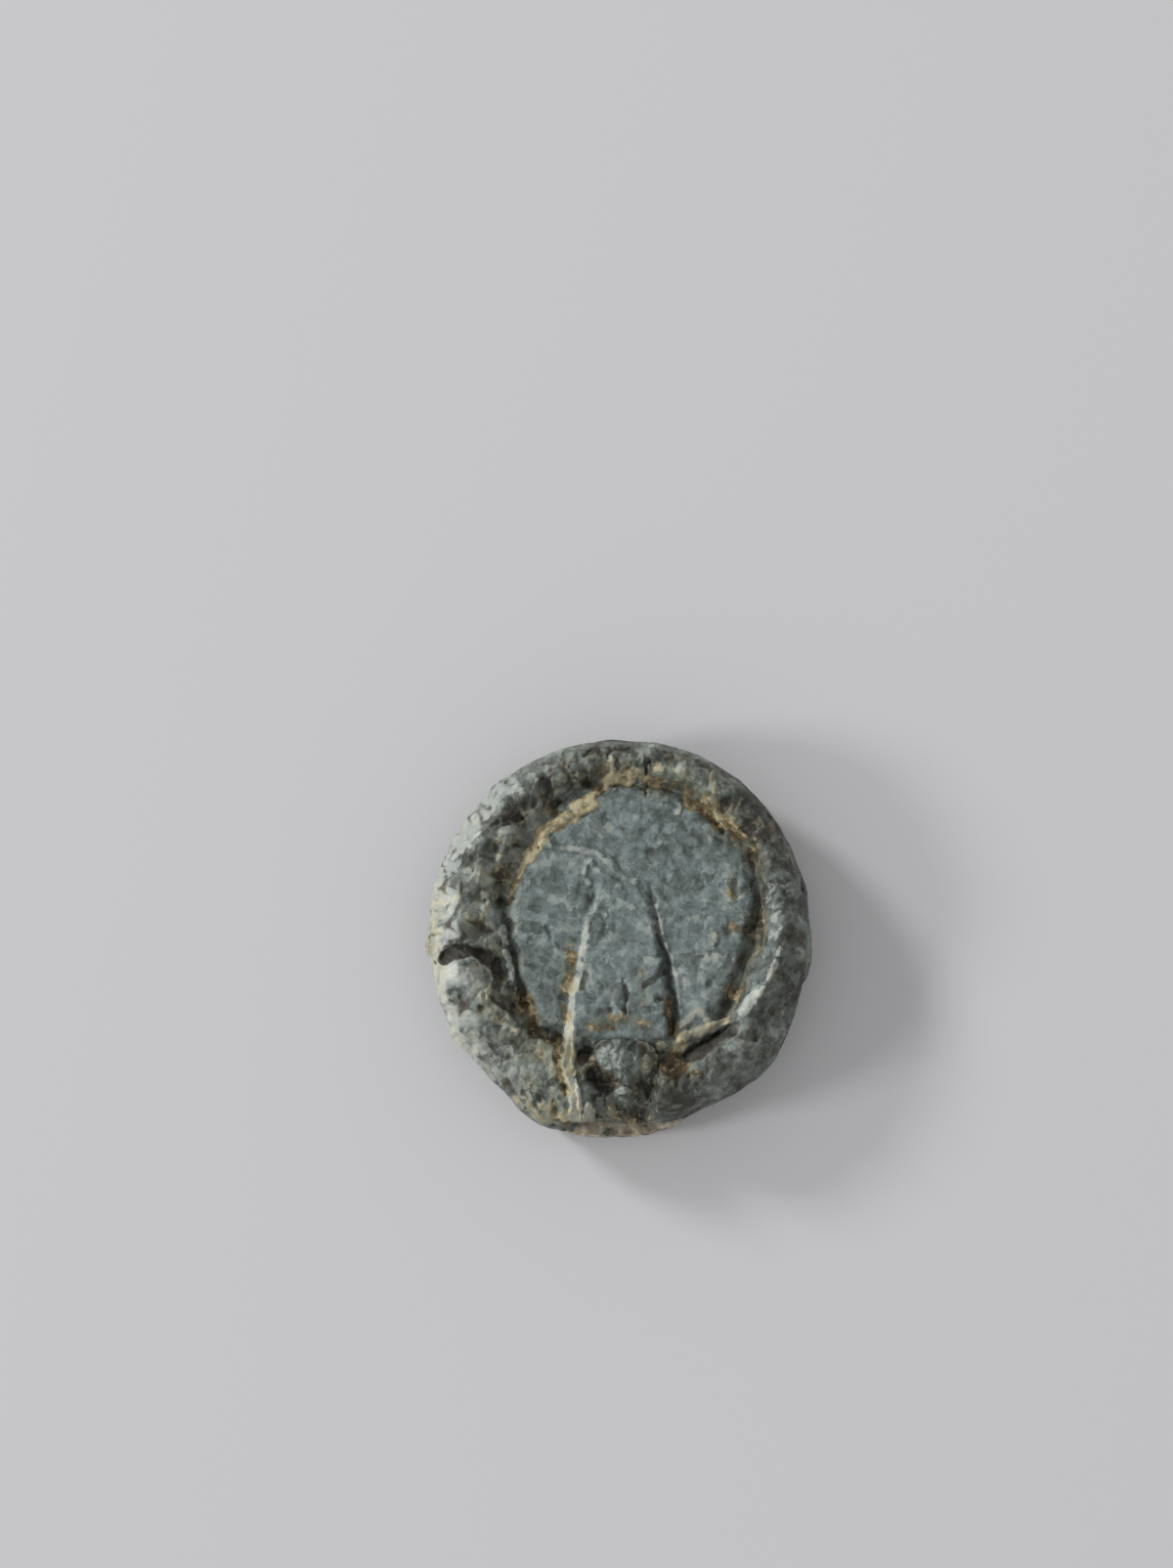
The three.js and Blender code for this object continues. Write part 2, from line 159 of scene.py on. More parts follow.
leadColours = {
    "rim": [(0.0, (0.032, 0.033, 0.025)), (0.25, (0.068, 0.073, 0.060)), (0.5, (0.116, 0.131, 0.116)),
            (0.75, (0.180, 0.204, 0.183)), (1.0, (0.28, 0.31, 0.27))],
    "field": [(0.0, (0.040, 0.049, 0.042)), (0.3, (0.083, 0.103, 0.095)), (0.6, (0.132, 0.163, 0.159)),
              (0.85, (0.182, 0.220, 0.216)), (1.0, (0.25, 0.285, 0.265))],
    "crust": [(0.0, (0.14, 0.16, 0.15)), (0.35, (0.215, 0.238, 0.224)), (0.7, (0.30, 0.32, 0.295)),
              (1.0, (0.43, 0.44, 0.395))],
    "earth": [(0.0, (0.040, 0.028, 0.014)), (0.3, (0.10, 0.068, 0.032)), (0.65, (0.245, 0.203, 0.118)),
              (1.0, (0.40, 0.355, 0.23))],
    "hollow": [(0.0, (0.018, 0.017, 0.013)), (0.5, (0.048, 0.044, 0.033)), (1.0, (0.12, 0.112, 0.088))],
}


# The lead's look. The masks on each piece say where it is crust, earth, hollow or field; in a few places
# the crust mask also carries painted highlights, and the hollow and tone masks carry painted shade and
# painted shadow.
leadSettings = {
    # sizes of the patterns in millimetres
    "cloudSize": 1.5,
    "mottleSize": 0.5,
    "gritSize": 0.13,
    "blotchSize": 0.42,
    "patchSize": 0.2,
    # how far clouds, mottle, blotches, patches and grit move the tone, and the blotches' outlines
    "speckle": (0.6, 1.2, 0.55, 0.3, 0.12),
    "outline": 0.1,
    # how finely and how far blotches and patches are bent
    "bendScale": 3.0,
    "bend": 0.6,
    # how far the speckle moves each cover's border, and between which values the cover sets in
    "covers": {"crust": (0.8, 0.25, 0.55), "hollow": (0.6, 0.2, 0.8), "stain": (0.3, 0.05, 0.4),
               "earth": (0.8, 0.32, 0.72)},
    "deep": (0.8, 1.35),
    "stainTint": (1.05, 0.98, 0.8),
    # the bump's parts: mottle, grit and blotches, and its height in millimetres
    "bump": (0.7, 0.18, 0.2),
    "bumpHeight": 0.05,
    # lead's own roughness, and what earth and crust add to it
    "roughness": (0.6, 0.25, 0.1),
    "specular": 0.35,
}


def leadMaterial(name, colours):
    s = leadSettings
    material, place = newMaterial(name)
    clouds = place.grain(s["cloudSize"], 3, 0.6)
    mottle = place.grain(s["mottleSize"], 3, 0.55, 0.6)
    grit = place.grain(s["gritSize"], 2, 0.5)
    values = {"Vector": place, "Scale": s["bendScale"], "Detail": 2.0}
    bend = place.node("ShaderNodeTexNoise", None, values, "Color")
    bent = place.vector("ADD", {1: bend.vector("SCALE", {"Scale": s["bend"]})})
    blotch = bent.cells(s["blotchSize"])
    patch = bent.cells(s["patchSize"])
    outlined = bent.borders(s["blotchSize"]).step(0.16, 0.0) * clouds.step(0.4, 0.6)
    patterns = zip((clouds, mottle, blotch, patch, grit), s["speckle"])
    speckle = sum((pattern - 0.5) * amount for pattern, amount in patterns) - outlined * s["outline"]

    def cover(kind, amount):
        share, low, high = s["covers"][kind]
        return (amount + speckle * share).step(low, high)

    names = ("tone", "crust", "earth", "hollow", "field")
    tone, crust, earth, hollow, field = (place.attribute(name) for name in names)
    rim = (tone + speckle * 0.8).ramp(colours["rim"])
    lead = field.mix(rim, (tone + speckle * 0.95).ramp(colours["field"]))
    pale = cover("crust", crust)
    lead = pale.mix(lead, (crust * 0.82 + speckle * 0.7).ramp(colours["crust"]))
    deep = hollow.step(*s["deep"])
    dark = (speckle * (1.5 - deep) + 0.52 - deep * 0.38).ramp(colours["hollow"])
    lead = (cover("hollow", hollow) * (1 - field * 0.35)).mix(lead, dark)
    lead = cover("stain", earth).mix(lead, s["stainTint"], "MULTIPLY")
    soiled = cover("earth", earth - deep * 0.6)
    soil = (earth * 0.35 + crust * 0.4 + 0.12 + speckle * 1.1).ramp(colours["earth"])
    relief = sum(part * amount for part, amount in zip((mottle, grit, blotch), s["bump"]))
    bump = {"Height": relief, "Distance": s["bumpHeight"] * mm}
    own, fromEarth, fromCrust = s["roughness"]
    finishMaterial({"Base Color": soiled.mix(lead, soil), "Specular IOR Level": s["specular"],
                    "Roughness": own + soiled * fromEarth + pale * fromCrust,
                    "Normal": relief.node("ShaderNodeBump", None, bump)}, relief)
    return material


# Numbers over many points

def smooth(low, high, value):
    t = np.clip((value - low) / (high - low), 0, 1)
    return t * t * (3 - 2 * t)


def grain(points, size, seed, octaves=1):
    apart = 7.31  # far enough that two seeds give unlike grain
    shifted = (points / size + seed * apart).tolist()
    return np.array([noise.fractal(place, 1.0, 2.0, octaves) for place in shifted])


# Keeps what passes a limit within a little room above it
def soften(value, limit, room):
    return np.where(value > limit, limit + room * np.tanh((value - limit) / room), value)


# Irregular plates of about one size: a number from 0 to 1 for the plate under each point, and
# how far the point lies from the plate's border
def plates(x, y, size, seed, warp=0.3):
    points = flat(x, y)
    u = x / size + warp * grain(points, size * 0.9, seed, 2)
    v = y / size + warp * grain(points, size * 0.9, seed + 1, 2)
    count = 64
    chance = np.random.default_rng(seed).random((3, count, count))
    nearest, second, number = u * 0 + 9, u * 0 + 9, u * 0
    for right in (-1, 0, 1):
        for up in (-1, 0, 1):
            column, row = np.floor(u).astype(int) + right, np.floor(v).astype(int) + up
            aside, above, own = chance[:, column % count, row % count]
            distance = np.hypot(u - column - aside, v - row - above)
            closer = distance < nearest
            second = np.where(closer, nearest, np.minimum(second, distance))
            number = np.where(closer, own, number)
            nearest = np.minimum(nearest, distance)
    return number, (second - nearest) * size


def flat(x, y, z=0.0):
    return np.stack([x, y, x * 0 + z], axis=1)


def clockAngle(x, y):
    return np.degrees(np.arctan2(x, y)) % 360


def onClock(table, clock):
    return np.interp(clock, [row[0] for row in table], [row[1] for row in table], period=360)


def along(table, share):
    return np.interp(share, [row[0] for row in table], [row[1] for row in table])


def downward(table, y):
    return np.interp(-y, [-row[1] for row in table], [row[0] for row in table])


# How far each point lies from a line, and how far to the right of it
def besideLine(x, y, line):
    nearest, right = np.full(len(x), 1e9), 0 * x
    for (ax, ay), (bx, by) in zip(line, line[1:]):
        dx, dy = bx - ax, by - ay
        length = math.hypot(dx, dy)
        t = np.clip(((x - ax) * dx + (y - ay) * dy) / length ** 2, 0, 1)
        distance = np.hypot(x - ax - t * dx, y - ay - t * dy)
        right = np.where(distance < nearest, ((x - ax) * dy - (y - ay) * dx) / length, right)
        nearest = np.minimum(nearest, distance)
    return nearest, right


def ovalDistance(x, y, spot):
    cx, cy, rx, ry, turn = spot
    c, s = math.cos(math.radians(turn)), math.sin(math.radians(turn))
    dx, dy = x - cx, y - cy
    return np.hypot((dx * c + dy * s) / rx, (dy * c - dx * s) / ry)


def sector(clock, middle, half, edge=12):
    aside = np.abs((clock - middle + 180) % 360 - 180)
    return 1 - smooth(half - edge, half + edge, aside)


def stretches(rows, clock):
    return sum(amount * sector(clock, middle, half, edge) for middle, half, edge, amount in rows)


def toFrame(x, y, z):
    return np.stack([x * mm + discCentre.x, y * mm + discCentre.y, z * mm + seam], axis=1)


def coordinates(mesh):
    places = np.empty(len(mesh.vertices) * 3, dtype=np.float32)
    mesh.vertices.foreach_get("co", places)
    return places.reshape(-1, 3).astype(float)


def fromFrame(mesh):
    places = coordinates(mesh) - np.array([discCentre.x, discCentre.y, seam])
    return places.T / mm


def move(mesh, places):
    mesh.vertices.foreach_set("co", places.astype(np.float32).ravel())
    mesh.update()


def paint(mesh, masks):
    for name, values in masks.items():
        layer = mesh.attributes.new(name, "FLOAT", "POINT")
        layer.data.foreach_set("value", values.astype(np.float32))


# Pieces

def newPiece(name, shell):
    bmesh.ops.recalc_face_normals(shell, faces=shell.faces)
    mesh = bpy.data.meshes.new(name)
    shell.to_mesh(mesh)
    shell.free()
    piece = bpy.data.objects.new(name, mesh)
    bpy.context.scene.collection.objects.link(piece)
    return piece


# A round sheet of even squares, and a skirt of rows below its edge closed by one face. The
# rows stand one apart, so a function of share, clock angle and row can place every vertex.
def discShell(steps, rows):
    shell = bmesh.new()
    bmesh.ops.create_grid(shell, x_segments=steps, y_segments=steps, size=1.0)
    for vert in shell.verts:
        a, b = vert.co.x, vert.co.y
        if abs(a) > abs(b):
            reach, turn = a, math.pi / 4 * b / a
        else:
            reach, turn = b, math.pi / 2 - math.pi / 4 * a / (b or 1)
        vert.co.xy = reach * math.cos(turn), reach * math.sin(turn)
    rim = [edge for edge in shell.edges if edge.is_boundary]
    for row in range(rows):
        grown = bmesh.ops.extrude_edge_only(shell, edges=rim)["geom"]
        verts = {part for part in grown if isinstance(part, bmesh.types.BMVert)}
        for vert in verts:
            vert.co.z = -row - 1
        edges = [part for part in grown if isinstance(part, bmesh.types.BMEdge)]
        rim = [edge for edge in edges if set(edge.verts) <= verts]
    bmesh.ops.contextual_create(shell, geom=rim)
    return shell


# A piece made of such a shell, with each vertex's share of the reach, row, clock angle and
# direction. A mirror of -1 is for a shell modelled face down.
def shellPiece(name, steps, rows, mirror=1):
    piece = newPiece(name, discShell(steps, rows))
    x, y, z = coordinates(piece.data).T
    clock = clockAngle(mirror * x, y)
    return piece, np.hypot(x, y), -z, clock, np.sin(np.radians(clock)), np.cos(np.radians(clock))


def dress(piece, material, node):
    sharpFrom = 55
    piece.data.shade_smooth()
    piece.data.set_sharp_from_angle(angle=math.radians(sharpFrom))
    piece.data.materials.clear()
    piece.data.materials.append(material)
    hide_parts(node)
    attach(piece, "root")


# The front leaf. It is whole inside, because the cord's tunnel and the rivet's hole are only
# in the solids that it replaces.

faceSettings = {
    "gridSteps": 256,
    "sideRows": 12,
    # how far the side swells out, draws in at its foot and is crumpled
    "sideSwell": 0.14,
    "sideInset": 0.2,
    "sideCrumple": 0.04,
    "edgeRagged": 0.04,
    # mean reach of the edge, where the grain along it is taken
    "meanReach": 8.4,
    # clock angle and reach of the outer edge, the rim's crest and the ring groove
    "outline": [(0, 8.68), (12, 8.7), (20, 8.74), (31, 8.69), (40, 8.67), (50, 8.6), (60, 8.47), (74, 8.42),
                (81, 8.35), (90, 8.35), (97, 8.41), (101, 8.35), (104, 8.2), (112, 8.25), (118, 8.36),
                (130, 8.55), (136, 8.54), (142, 8.4), (153, 8.18), (160, 8.24), (167, 8.15), (174, 8.0),
                (184, 7.9), (190, 8.05), (196, 8.68), (203, 8.76), (210, 8.54), (217, 8.28), (225, 8.2),
                (232, 8.2), (240, 8.42), (246, 8.22), (256, 8.25), (261, 8.16), (265, 8.36), (268, 8.42),
                (272, 8.36), (277, 8.3), (282, 8.42), (292, 8.39), (305, 8.46), (315, 8.56), (321, 8.66),
                (332, 8.63), (346, 8.67)],
    "crest": [(0, 7.85), (30, 7.8), (45, 7.5), (60, 7.4), (76, 7.22), (85, 7.12), (95, 6.9), (107, 6.56),
              (121, 6.33), (135, 6.45), (150, 6.6), (180, 6.6), (205, 6.8), (225, 7.0), (245, 7.2),
              (262, 7.0), (277, 6.97), (287, 7.04), (298, 7.4), (306, 7.45), (315, 7.46),
              (328, 7.5), (340, 7.8)],
    "groove": [(0, 6.93), (24, 6.9), (36, 6.7), (45, 6.62), (50, 6.8), (58, 6.85), (67, 6.6),
               (76, 6.35), (88, 5.95), (100, 5.7), (112, 5.65), (122, 5.75), (131, 5.95),
               (142, 5.8), (154, 5.6), (180, 5.3), (211, 5.16), (228, 5.0), (243, 4.95),
               (260, 4.98), (278, 5.09), (293, 5.25), (307, 5.49), (318, 5.85), (330, 6.26),
               (340, 6.6), (348, 6.86)],
    # levels above the seam
    "fieldLevel": 1.75,
    "grooveDepth": 0.34,
    "crestLevel": 2.42,
    "grooveWidth": 0.36,
    # share of the way from the crest to the edge, and how far a rounded or a bevelled rim has
    # fallen there
    "roundedFall": [(0, 0), (0.3, 0.06), (0.6, 0.3), (0.85, 0.8), (1, 1.47)],
    "bevelledFall": [(0, 0), (0.15, 0.14), (0.6, 0.72), (1, 1.47)],
    # how far the groove's line wanders, and how ragged small borders are
    "wander": 0.2,
    "ragged": 0.09,
    # stretches of the rim, each with its middle, half width and soft edge in clock degrees
    "bevel": (292, 34, 10),
    "litSlope": (103, 30, 12),
    "paleEdge": (252, 18, 8),
    "paleRise": (236, 24, 12),
    "earthyEdge": (268, 16, 10),
    "darkBorders": (318, 60, 20),
    "evenTone": (125, 65, 12),
    # the same, with what the stretch adds to the rim's tone or earth
    "rimTones": [(228, 30, 12, 0.12), (100, 66, 14, -0.12), (300, 50, 12, -0.04)],
    "rimEarth": [(215, 40, 20, 0.14), (20, 40, 20, 0.12)],
    # the roof's sides and the mouth's, from the top down
    "roofLeft": [(-0.91, 2.02), (-1.07, 1.37), (-1.39, 0.77), (-1.52, -0.6), (-1.72, -1.62),
                 (-2.0, -2.61), (-2.1, -3.59), (-2.2, -4.4)],
    "roofRight": [(1.2, 2.14), (1.4, 1.55), (1.46, 0.83), (1.62, 0.11), (1.86, -0.84), (2.0, -1.8),
                  (2.1, -2.75), (2.12, -4.1)],
    # y of the roof's top and foot, how high it stands there, and the crack's width and depth
    # at its top and how much they grow
    "roofSpan": (2.0, -4.2),
    "roofRise": (0.12, 0.45),
    "crackWidth": (0.09, 0.14),
    "crackDepth": (0.2, 0.35),
    # waves that make the rim swell and sink: length, direction and phase
    "waves": [(1.35, 12, 40), (1.6, 75, 200), (1.8, 140, 310), (1.5, 110, 95),
              (2.1, 165, 10), (2.4, 40, 250), (1.7, 95, 150), (2.8, 125, 80)],
    # sizes of the plates that the crust broke into
    "plateSizes": (0.75, 0.36),
    # how far swellings, grains and plates lift the rough rim and the smoother parts
    "roughLifts": (0.12, 0.04, 0.19),
    "smoothLifts": (0.03, 0.015, 0.05),
    "mouthLeft": [(-1.55, -4.1), (-1.75, -5.1), (-1.62, -6.0), (-1.45, -6.9), (-1.25, -8.2)],
    "mouthRight": [(1.75, -4.1), (2.0, -5.2), (1.9, -6.2), (1.75, -7.0), (1.6, -8.2)],
    # level and y of the shelf that the rivet's head is struck over
    "shelfLevel": [(2.2, -4.0), (2.05, -4.7), (1.95, -5.6), (1.75, -6.5), (1.35, -7.2), (0.75, -7.8),
                   (0.3, -8.6)],
    # how far the leaf laps the head, how deep the head's seat is, and where about the rivet
    # the shelf is too worn to have one
    "rivetLap": 0.12,
    "seatDepth": 0.45,
    "wornSeat": (190, 65, 35),
    # clock angle about the rivet and the width of the valley round its head
    "valley": [(0, 0.15), (50, 0.2), (80, 0.4), (110, 0.5), (150, 0.4), (210, 0.4), (245, 0.3),
               (280, 0.35), (305, 0.3), (335, 0.2)],
    # levels and amounts past which height, crust and hollow are softened, and the room above
    "heightLimit": (2.5, 0.3),
    "crustLimit": (0.6, 0.45),
    "hollowLimit": (0.9, 0.4),
    # a line, how far the ground right of it rises at once, and how far out that has faded
    "ledges": [
        ([(-7.8, -0.75), (-7.5, -0.42), (-7.1, -0.34), (-6.6, -0.4), (-6.1, -0.5)], -0.26, 0.7),
        ([(-2.0, -4.1), (-2.02, -4.7), (-1.98, -5.2), (-2.05, -5.6), (-1.88, -6.0), (-1.8, -6.6),
          (-1.74, -7.2), (-1.7, -7.9)], -0.18, 0.8),
        ([(7.33, 0.6), (7.23, -0.4), (6.95, -1.1), (6.6, -1.9), (6.2, -2.6), (5.7, -3.4)], 0.26, 0.9),
        ([(-4.35, -2.9), (-4.5, -2.2), (-4.65, -1.4), (-4.8, -0.6), (-4.95, 0.2)], -0.16, 0.5),
        ([(2.9, -4.95), (3.6, -4.45), (4.3, -4.1), (4.8, -3.85)], -0.42, 0.95),
    ],
    # a line, half its width, its rise, and how much crust, earth and hollow it carries
    "strokes": [
        # the roof's lit left side and the torn edge below it
        ([(-1.05, 1.3), (-1.32, 0.75), (-1.45, 0.2), (-1.56, -0.5), (-1.68, -1.2), (-1.88, -1.95),
          (-2.07, -2.6), (-2.13, -3.3), (-2.2, -3.95)], 0.16, 0.0, 0.85, 0.12, -0.2),
        ([(-2.12, -4.1), (-2.2, -4.7), (-2.16, -5.2), (-2.27, -5.6), (-2.1, -6.0), (-1.98, -6.6),
          (-1.92, -7.2), (-1.87, -7.8)], 0.27, 0.22, 1.6, 0.1, -0.6),
        ([(-2.3, -3.6), (-2.42, -2.9), (-2.3, -2.3), (-2.1, -1.5), (-2.0, -0.8)], 0.2, -0.04, 0, 0.55, 0),
        ([(-2.65, -4.5), (-2.7, -5.2), (-2.5, -6.1), (-2.2, -6.8)], 0.17, -0.12, 0, 0.75, 0.3),
        ([(-2.55, -4.5), (-2.62, -4.9)], 0.14, -0.05, 0, 1.1, 0),
        # beside the crack on the roof's right
        ([(1.62, 1.3), (1.78, 0.35), (2.05, -0.4), (2.35, -1.2), (2.48, -1.9), (2.62, -3.0)],
         0.13, 0.05, 0.55, 0, 0),
        ([(1.05, 2.05), (1.3, 1.6)], 0.16, -0.08, 0, 0, 0.5),
        ([(2.15, -2.9), (2.25, -3.5), (2.3, -4.2)], 0.22, -0.05, 0, 0.8, 0.2),
        ([(1.9, -1.5), (1.6, -1.95), (1.1, -2.15)], 0.12, -0.14, 0, 0, 0.8),
        # the arc over the roof's top
        ([(-3.3, 4.1), (-2.9, 4.0), (-2.4, 3.85), (-1.7, 3.78), (-1.05, 3.65), (-0.55, 3.35),
          (-0.15, 2.95), (0.1, 2.65), (0.45, 2.45), (0.75, 2.35)], 0.16, 0.13, 0.54, -0.1, 0),
        ([(-1.2, 3.3), (-1.05, 3.0), (-0.8, 2.75), (-0.3, 2.45), (0.1, 2.2)], 0.11, 0.08, 0.6, 0, 0),
        ([(-1.0, 3.2), (-0.5, 2.9), (0.0, 2.4)], 0.12, -0.05, 0, 0, 0.3),
        ([(-1.4, 3.2), (-1.55, 2.7), (-1.3, 2.3)], 0.1, 0.06, 0.5, 0, 0),
        ([(1.4, 4.4), (1.75, 4.45), (1.85, 4.1)], 0.1, 0.03, 0.3, 0, 0),
        ([(2.2, 6.15), (2.6, 6.05), (2.72, 5.7), (2.6, 5.4)], 0.13, 0.08, 0.55, 0.15, 0),
        # the ridge left of the field, with grooves to either side
        ([(-5.1, 0.4), (-5.0, -0.2), (-4.92, -0.8), (-4.75, -1.4), (-4.62, -2.1), (-4.5, -2.6)],
         0.16, 0.2, 0.6, 0, -0.4),
        ([(-4.9, 0.6), (-4.8, 0.2), (-4.68, -0.4), (-4.55, -1.1), (-4.4, -1.8), (-4.25, -2.5),
          (-4.1, -2.9)], 0.22, -0.16, 0, 0, 0.6),
        ([(-4.2, -2.6), (-4.0, -3.2), (-3.75, -3.7)], 0.34, -0.12, 0, 0.75, 0.3),
        ([(-3.75, -4.1), (-3.4, -4.25), (-3.0, -4.4), (-2.6, -4.6)], 0.26, -0.25, 0, 0.3, 0.8),
        ([(-5.35, -1.2), (-5.3, -1.9), (-5.4, -2.6), (-4.9, -2.95), (-4.4, -3.5)],
         0.24, -0.2, 0, 0, 0.8),
        ([(-5.25, 1.5), (-5.1, 1.0), (-5.1, 0.7)], 0.14, -0.1, 0, 0.1, 0.7),
        # earth in the groove, with painted shade on some dark lines along it
        ([(-4.0, 3.5), (-3.5, 4.4), (-3.0, 4.8), (-2.4, 5.15), (-1.8, 5.6), (-1.2, 5.8)],
         0.32, 0.05, 1.0, 1.0, -0.5),
        ([(-4.95, 1.3), (-4.8, 1.75), (-4.6, 2.2), (-4.4, 2.7), (-4.2, 3.1), (-4.0, 3.5)],
         0.14, 0.04, 0.75, 0.9, -0.3),
        ([(-1.9, 5.75), (-1.3, 6.1), (-1.0, 6.5), (-0.5, 6.9), (0.0, 7.0), (0.5, 6.9)],
         0.22, 0.04, 0.55, 1.0, 0),
        ([(-3.1, 5.85), (-2.9, 5.5), (-2.5, 5.4)], 0.2, -0.1, 0, 0.5, 0.6),
        # painted shadow: a thin dark line between the earth and the field, where the field's edge casts
        # shade
        ([(-3.0, 4.45), (-2.5, 4.75), (-1.9, 5.15), (-1.2, 5.45), (-0.9, 5.6)],
         0.07, -0.06, 0, 0.1, 0.7),
        ([(-1.0, 6.2), (-0.6, 6.65), (0.0, 6.75), (0.7, 6.65), (1.1, 6.5)], 0.1, -0.08, 0, 0.1, 0.8),
        ([(1.3, 6.65), (1.9, 6.6), (2.4, 6.35), (2.7, 6.2)], 0.1, -0.08, 0, 0.2, 0.6),
        ([(1.2, 6.9), (1.9, 6.75), (2.6, 6.6), (3.1, 6.3)], 0.2, 0, 0.1, 0.5, 0),
        ([(3.0, 5.85), (3.6, 5.75), (4.0, 5.4), (4.3, 5.0)], 0.25, -0.04, 0, 0.85, 0),
        ([(4.2, 7.3), (4.15, 6.7), (4.15, 6.2), (4.3, 5.7)], 0.14, 0.12, 0.55, 0.4, 0),
        ([(4.4, 5.2), (4.8, 4.9), (5.1, 4.5), (5.5, 4.2), (5.8, 3.9)], 0.2, 0.03, 0, 0.7, 0),
        ([(4.4, 4.9), (4.6, 4.6)], 0.13, -0.1, 0, 0, 0.8),
        ([(5.5, 4.6), (5.9, 5.0)], 0.2, -0.1, 0, 0.2, 0.7),
        # partly painted shade: the dark band along the groove's right side stands for the shade on the
        # groove's floor and the field's edge, which face away from the lights
        ([(5.85, 3.6), (6.05, 3.0), (6.1, 2.4), (6.2, 1.8), (6.1, 1.2), (6.1, 0.6)],
         0.26, -0.12, 0, 0.12, 0.6),
        ([(5.95, 0.5), (5.8, -0.3), (5.5, -1.2), (5.2, -2.1), (4.85, -2.8), (4.55, -3.4)],
         0.42, -0.1, 0, 0.12, 0.58),
        ([(5.0, 2.75), (4.8, 2.35), (4.85, 1.9), (5.0, 1.6)], 0.12, 0.06, 0.25, 0.5, 0),
        ([(5.1, 2.4), (5.15, 1.8), (5.6, 2.1)], 0.14, -0.08, 0, 0.35, 0.45),
        ([(5.0, 1.2), (5.6, 1.25), (5.9, 0.9)], 0.16, 0.04, 0.4, 0.2, 0),
        ([(4.8, 0.2), (4.9, 0.5), (5.3, 0.3), (5.8, 0.3)], 0.18, -0.08, 0, 0.45, 0.5),
        # the ridge below the field's right corner
        ([(1.8, -4.85), (2.3, -4.8), (2.8, -4.75)], 0.26, 0.14, 0.85, 0.5, -0.2),
        ([(2.6, -4.5), (3.0, -4.3), (3.6, -4.15), (4.1, -3.95), (4.6, -3.75)],
         0.21, 0.2, 0.8, 0.35, -0.2),
        ([(2.6, -3.85), (3.0, -3.6), (3.5, -3.25), (3.8, -3.55), (4.05, -3.8)], 0.2, 0.05, 0.7, 0.25, 0),
        ([(2.7, -4.3), (3.2, -4.0), (3.8, -3.85)], 0.1, -0.04, 0, 0.1, 0.35),
        # partly painted shadow: the hollow below the ridge is painted about as dark as the ridge's shadow
        ([(3.1, -5.2), (3.7, -4.9), (4.35, -4.5), (4.8, -4.1)], 0.28, -0.1, -2, -2, 3),
        # the lit slope right of the field; the crust on it is partly a painted highlight, strongest in the
        # thin line along its lit wall
        ([(7.15, 2.1), (7.1, 1.5), (6.9, 1.1), (6.85, 0.5), (6.8, 0.0)], 0.28, 0.02, 0.38, 0, -0.3),
        ([(7.0, -0.5), (6.82, -1.1), (6.45, -1.9), (6.05, -2.6)], 0.1, 0.02, 1.5, 0.1, -0.5),
        ([(5.95, -2.6), (5.6, -3.05), (5.35, -3.35)], 0.22, 0.0, 0.9, 0, -0.5),
        ([(6.75, -0.5), (6.5, -1.2), (6.15, -1.9), (5.75, -2.6), (5.35, -3.2)], 0.36, 0.0, 0.2, 0, -0.6),
        ([(7.5, 0.95), (7.8, 0.9), (8.0, 0.6)], 0.09, 0.05, 0.35, 0, 0),
        ([(6.1, 1.4), (6.5, 1.6), (6.7, 2.0), (6.5, 2.3)], 0.12, 0.08, 0.45, 0, 0),
        # the notch in the left of the rim and the pale edge above it; the dark in the notch is painted
        # shadow below its cliff, added to the shadow the ledge casts
        ([(-7.55, -0.9), (-7.3, -0.74), (-6.75, -0.68)], 0.28, -0.1, -4, -2, 5),
        ([(-6.8, -0.68), (-6.4, -0.72), (-6.1, -0.78)], 0.24, -0.06, -2, -1, 2),
        ([(-6.0, -0.75), (-5.7, -1.0)], 0.32, -0.05, -0.3, 0, 0.8),
        ([(-6.25, -1.0), (-5.9, -1.35), (-5.5, -1.6), (-5.45, -2.0), (-5.7, -2.6)],
         0.1, 0.1, 0.5, 0.1, 0),
        ([(-7.0, -1.25), (-6.2, -1.3)], 0.13, -0.04, 0, 0.2, 0.2),
        # the tip in the lower left
        ([(-4.9, -6.4), (-4.6, -6.8)], 0.2, -0.12, 0, 0.1, 0.75),
        ([(-4.55, -7.0), (-4.15, -7.1), (-4.0, -7.5)], 0.16, 0.05, 0.7, 0.5, 0),
        ([(-3.95, -6.9), (-3.8, -7.4), (-3.5, -7.8), (-3.0, -8.0)], 0.15, 0.08, 0.5, 0.3, 0),
        ([(-2.8, -7.2), (-2.75, -7.8), (-2.3, -8.1)], 0.14, -0.08, 0, 0.6, 0.25),
    ],
    # middle, radii, turn, rise, then crust, earth and hollow
    "spots": [
        ((-6.35, 0.5, 0.5, 0.6, 0), -0.08, 0.1, 0.2, 0.1),
        ((-6.9, 1.6, 0.3, 0.5, 10), -0.08, 0, 0.2, 0.3),
        ((-6.95, -1.8, 0.8, 0.48, -8), 0.05, 0.55, -0.1, -0.6),
        ((-6.15, -1.55, 0.4, 0.3, -30), 0.04, 0.3, 0, -0.5),
        ((5.0, -4.05, 0.22, 0.3, -20), -0.1, 0, 0, 0.7),
        ((3.15, -4.95, 0.28, 0.25, 0), 0.05, 0.45, 0.2, 0),
        ((2.45, -5.6, 0.6, 0.6, -10), -0.15, -1.0, 1.0, 0.4),
        ((3.2, -6.0, 0.25, 0.15, 20), -0.1, 0, 0.3, 0.6),
        ((-2.65, -0.05, 0.35, 0.25, 30), 0.06, 0.2, 0, 0),
